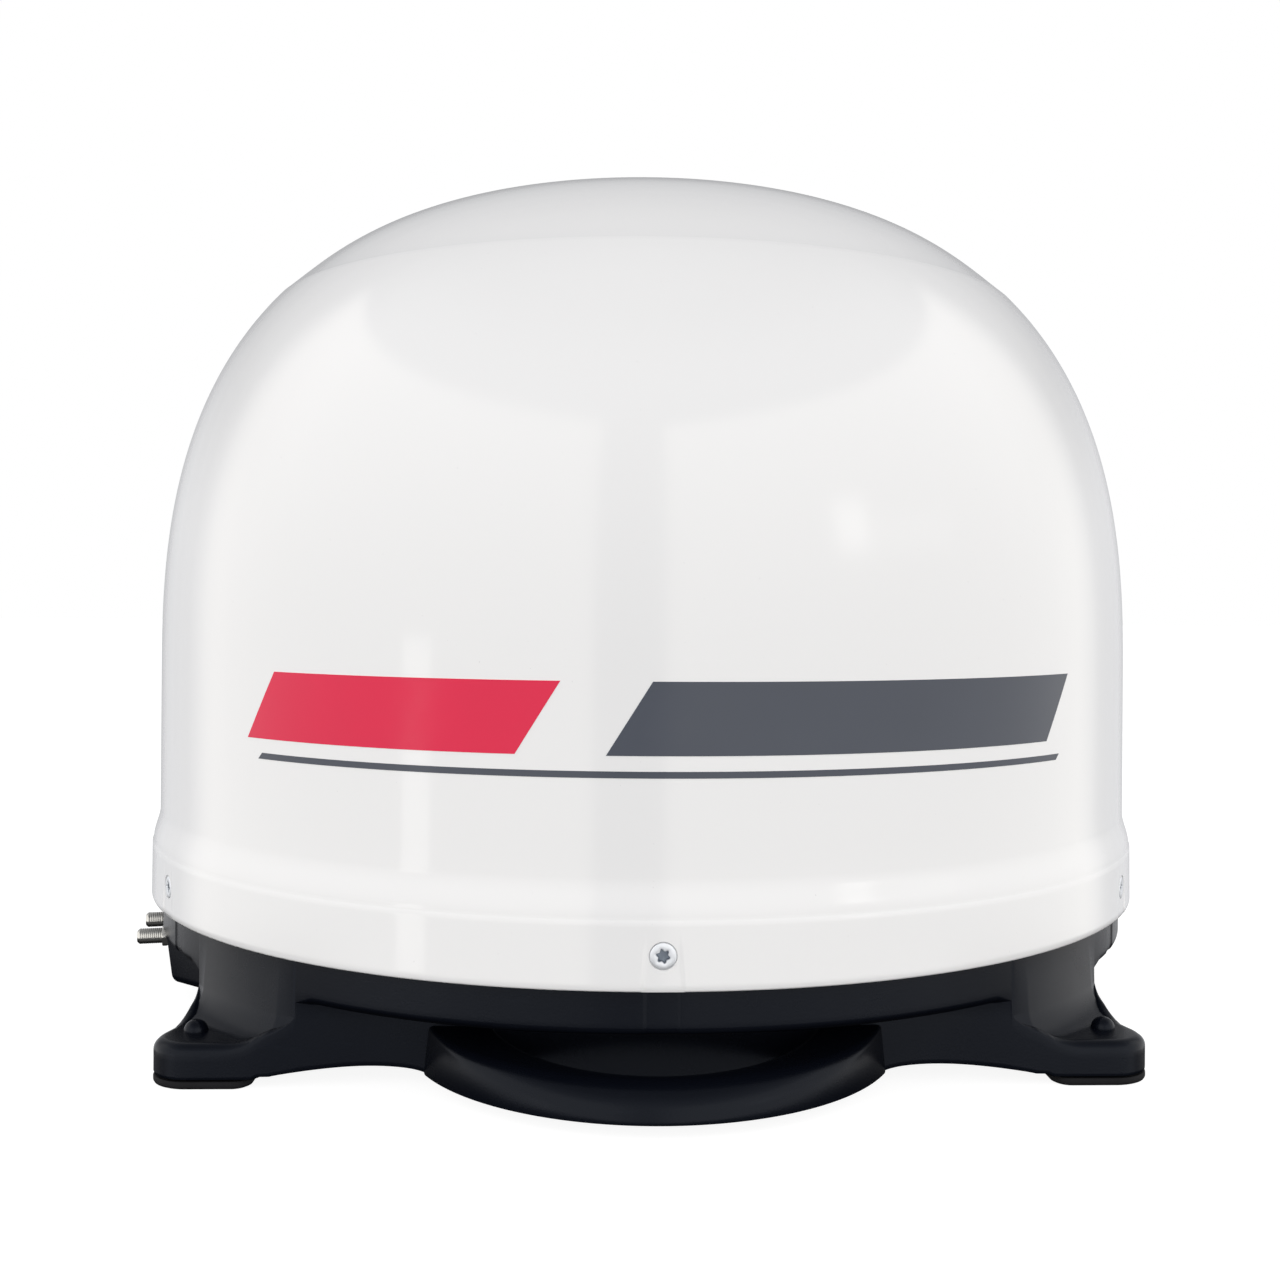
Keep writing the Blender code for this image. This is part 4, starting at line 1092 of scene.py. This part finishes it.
def room_light(sky):
    """The pale room round the scrims, dimmer behind the dome, overhead and underneath."""
    room = sky.towards(ROOM_LIGHT, BACK_LIGHT, sky.ramp(sky.y, -0.10, 0.45))
    high_back = sky.times(sky.ramp(sky.y, 0.05, 0.45), sky.ramp(sky.elevation, 0.08, 0.40))
    room = sky.towards(room, HIGH_BACK_LIGHT, high_back)
    room = sky.dimmed(room, sky.ramp(sky.y, 0.80, 0.95), FAR_DIM)
    room = sky.towards(room, CEILING_LIGHT, sky.ramp(sky.elevation, 0.70, 1.25))
    return sky.towards(room, FLOOR_LIGHT, sky.ramp(sky.elevation, SCRIM_LOW + 0.02, SCRIM_LOW - 0.10))


def studio_world():
    """The room, the scrims and the small lights for the object, and plain white for the camera."""
    world = bpy.data.worlds.new("studio")
    bpy.context.scene.world = world
    world.use_nodes = True
    tree = world.node_tree
    tree.nodes.clear()
    sky = Sky(tree)
    scrims = scrim_mask(sky)
    light = sky.plus(room_light(sky), sky.times(scrims, SCRIM_LIGHT))
    low_sides = sky.times(sky.ramp(sky.elevation, -0.20, -0.28), sky.ramp(sky.y, -0.50, -0.10))
    light = sky.dimmed(light, low_sides, LOW_SIDES_DIM)
    for *place, strength in PATCHES:
        light = sky.plus(light, sky.times(sky.patch(*place), strength))
    path = tree.nodes.new("ShaderNodeLightPath")
    lit = tree.nodes.new("ShaderNodeBackground")
    tree.links.new(light, lit.inputs["Strength"])
    tint = colour_mix(tree, scrims, ROOM_TINT, SCRIM_TINT)
    tree.links.new(tint, lit.inputs["Color"])
    seen = tree.nodes.new("ShaderNodeBackground")
    seen.inputs["Color"].default_value = (1, 1, 1, 1)
    seen.inputs["Strength"].default_value = 1.0
    mix = tree.nodes.new("ShaderNodeMixShader")
    tree.links.new(path.outputs["Is Camera Ray"], mix.inputs[0])
    tree.links.new(lit.outputs[0], mix.inputs[1])
    tree.links.new(seen.outputs[0], mix.inputs[2])
    out = tree.nodes.new("ShaderNodeOutputWorld")
    tree.links.new(mix.outputs[0], out.inputs["Surface"])


def key_light():
    """A weak area light from the upper left, which the gloss does not mirror."""
    data = bpy.data.lights.new("key", "AREA")
    data.shape = "RECTANGLE"
    data.size, data.size_y = 1.4, 1.0
    data.energy = KEY_POWER
    ob = bpy.data.objects.new("key", data)
    place, target = Vector((-1.2, -1.6, 1.5)), Vector((0, 0, 0.15))
    ob.location = place
    ob.rotation_euler = (target - place).to_track_quat("-Z", "Y").to_euler()
    ob.visible_glossy = False
    bpy.context.scene.collection.objects.link(ob)


def camera():
    """Almost level, a little left of straight ahead, at mid height."""
    data = bpy.data.cameras.new("camera")
    data.sensor_width = 36
    data.lens = CAMERA_LENS
    data.shift_x, data.shift_y = CAMERA_SHIFT
    ob = bpy.data.objects.new("camera", data)
    distance = CAMERA_DISTANCE * R
    across, back = -math.sin(CAMERA_TURN) * distance, -math.cos(CAMERA_TURN) * distance
    place = AXIS + Vector((across, back, SKIRT_Z + CAMERA_H * R))
    level = Matrix.Rotation(-CAMERA_TURN, 4, "Z") @ Matrix.Rotation(TURN / 4, 4, "X")
    ob.matrix_world = Matrix.Translation(place) @ level @ Matrix.Rotation(CAMERA_ROLL, 4, "Z")
    bpy.context.scene.collection.objects.link(ob)
    bpy.context.scene.camera = ob


def build():
    white, black, black_rubber = gloss_white(), black_plastic(), rubber()
    nickel = metal("nickel", (0.66, 0.65, 0.62), (0.50, 0.49, 0.46), 0.24, 300)
    steel = metal("bright_steel", (0.92, 0.94, 0.97), (0.80, 0.83, 0.87), 0.36, 260, 0.7)
    # The dark recess metal is painted shade, for the plugs in the screws' recesses.
    recess = metal("recess", (0.30, 0.34, 0.40), (0.20, 0.23, 0.27), 0.5, 260)
    zinc, cast, motor = zinc_sheet(), cast_metal(), motor_paint()
    insulator = dielectric()
    coat, plastic, board, jacket = powder_coat(), nylon(), circuit_board(), cable_jacket()
    red, grey = decal_ink("red_ink", (0.82, 0.012, 0.07)), decal_ink("grey_ink", (0.075, 0.085, 0.11))

    radome_shell(white)
    for number, angle in enumerate(screw_angles(), 1):
        torx_screw(number, angle, steel, recess)
    decal("decal_red", (STRIPE_LEFT, RED_END), BLOCK_HEIGHTS, 0.07, red)
    decal("decal_grey", (GREY_START, STRIPE_RIGHT), BLOCK_HEIGHTS, 0.07, grey)
    decal("decal_line", (STRIPE_LEFT, STRIPE_RIGHT), LINE_HEIGHTS, 0.01, grey)

    base_moulding(black)
    carry_handle(black)
    socket_housing(black)
    corners = (("front_left", -1, -1), ("front_right", 1, -1), ("rear_left", -1, 1), ("rear_right", 1, 1))
    for name, sign_x, sign_y in corners:
        foot_pad(name, sign_x, sign_y, black_rubber, black)
    for number in (1, 2):
        coax_socket(number, nickel, insulator)
        hex_nut(number, nickel)

    slots = {s["node"]: s["material_slot"] for s in frame["record"]["subparts"]}
    finishes = {
        "rubber": black_rubber,
        "steel": steel,
        "zinc_plate": zinc,
        "cast_metal": cast,
        "motor_metal": motor,
        "painted_white": coat,
        "nylon": plastic,
        "circuit_board": board,
        "cable": jacket,
    }
    for name, ob in sorted(frame["nodes"].items()):
        if not ob.hide_render and slots[name] in finishes:
            dress_node(name, finishes[slots[name]])

    floor()
    studio_world()
    key_light()
    camera()
    bpy.context.scene.view_settings.view_transform = "Standard"


build()
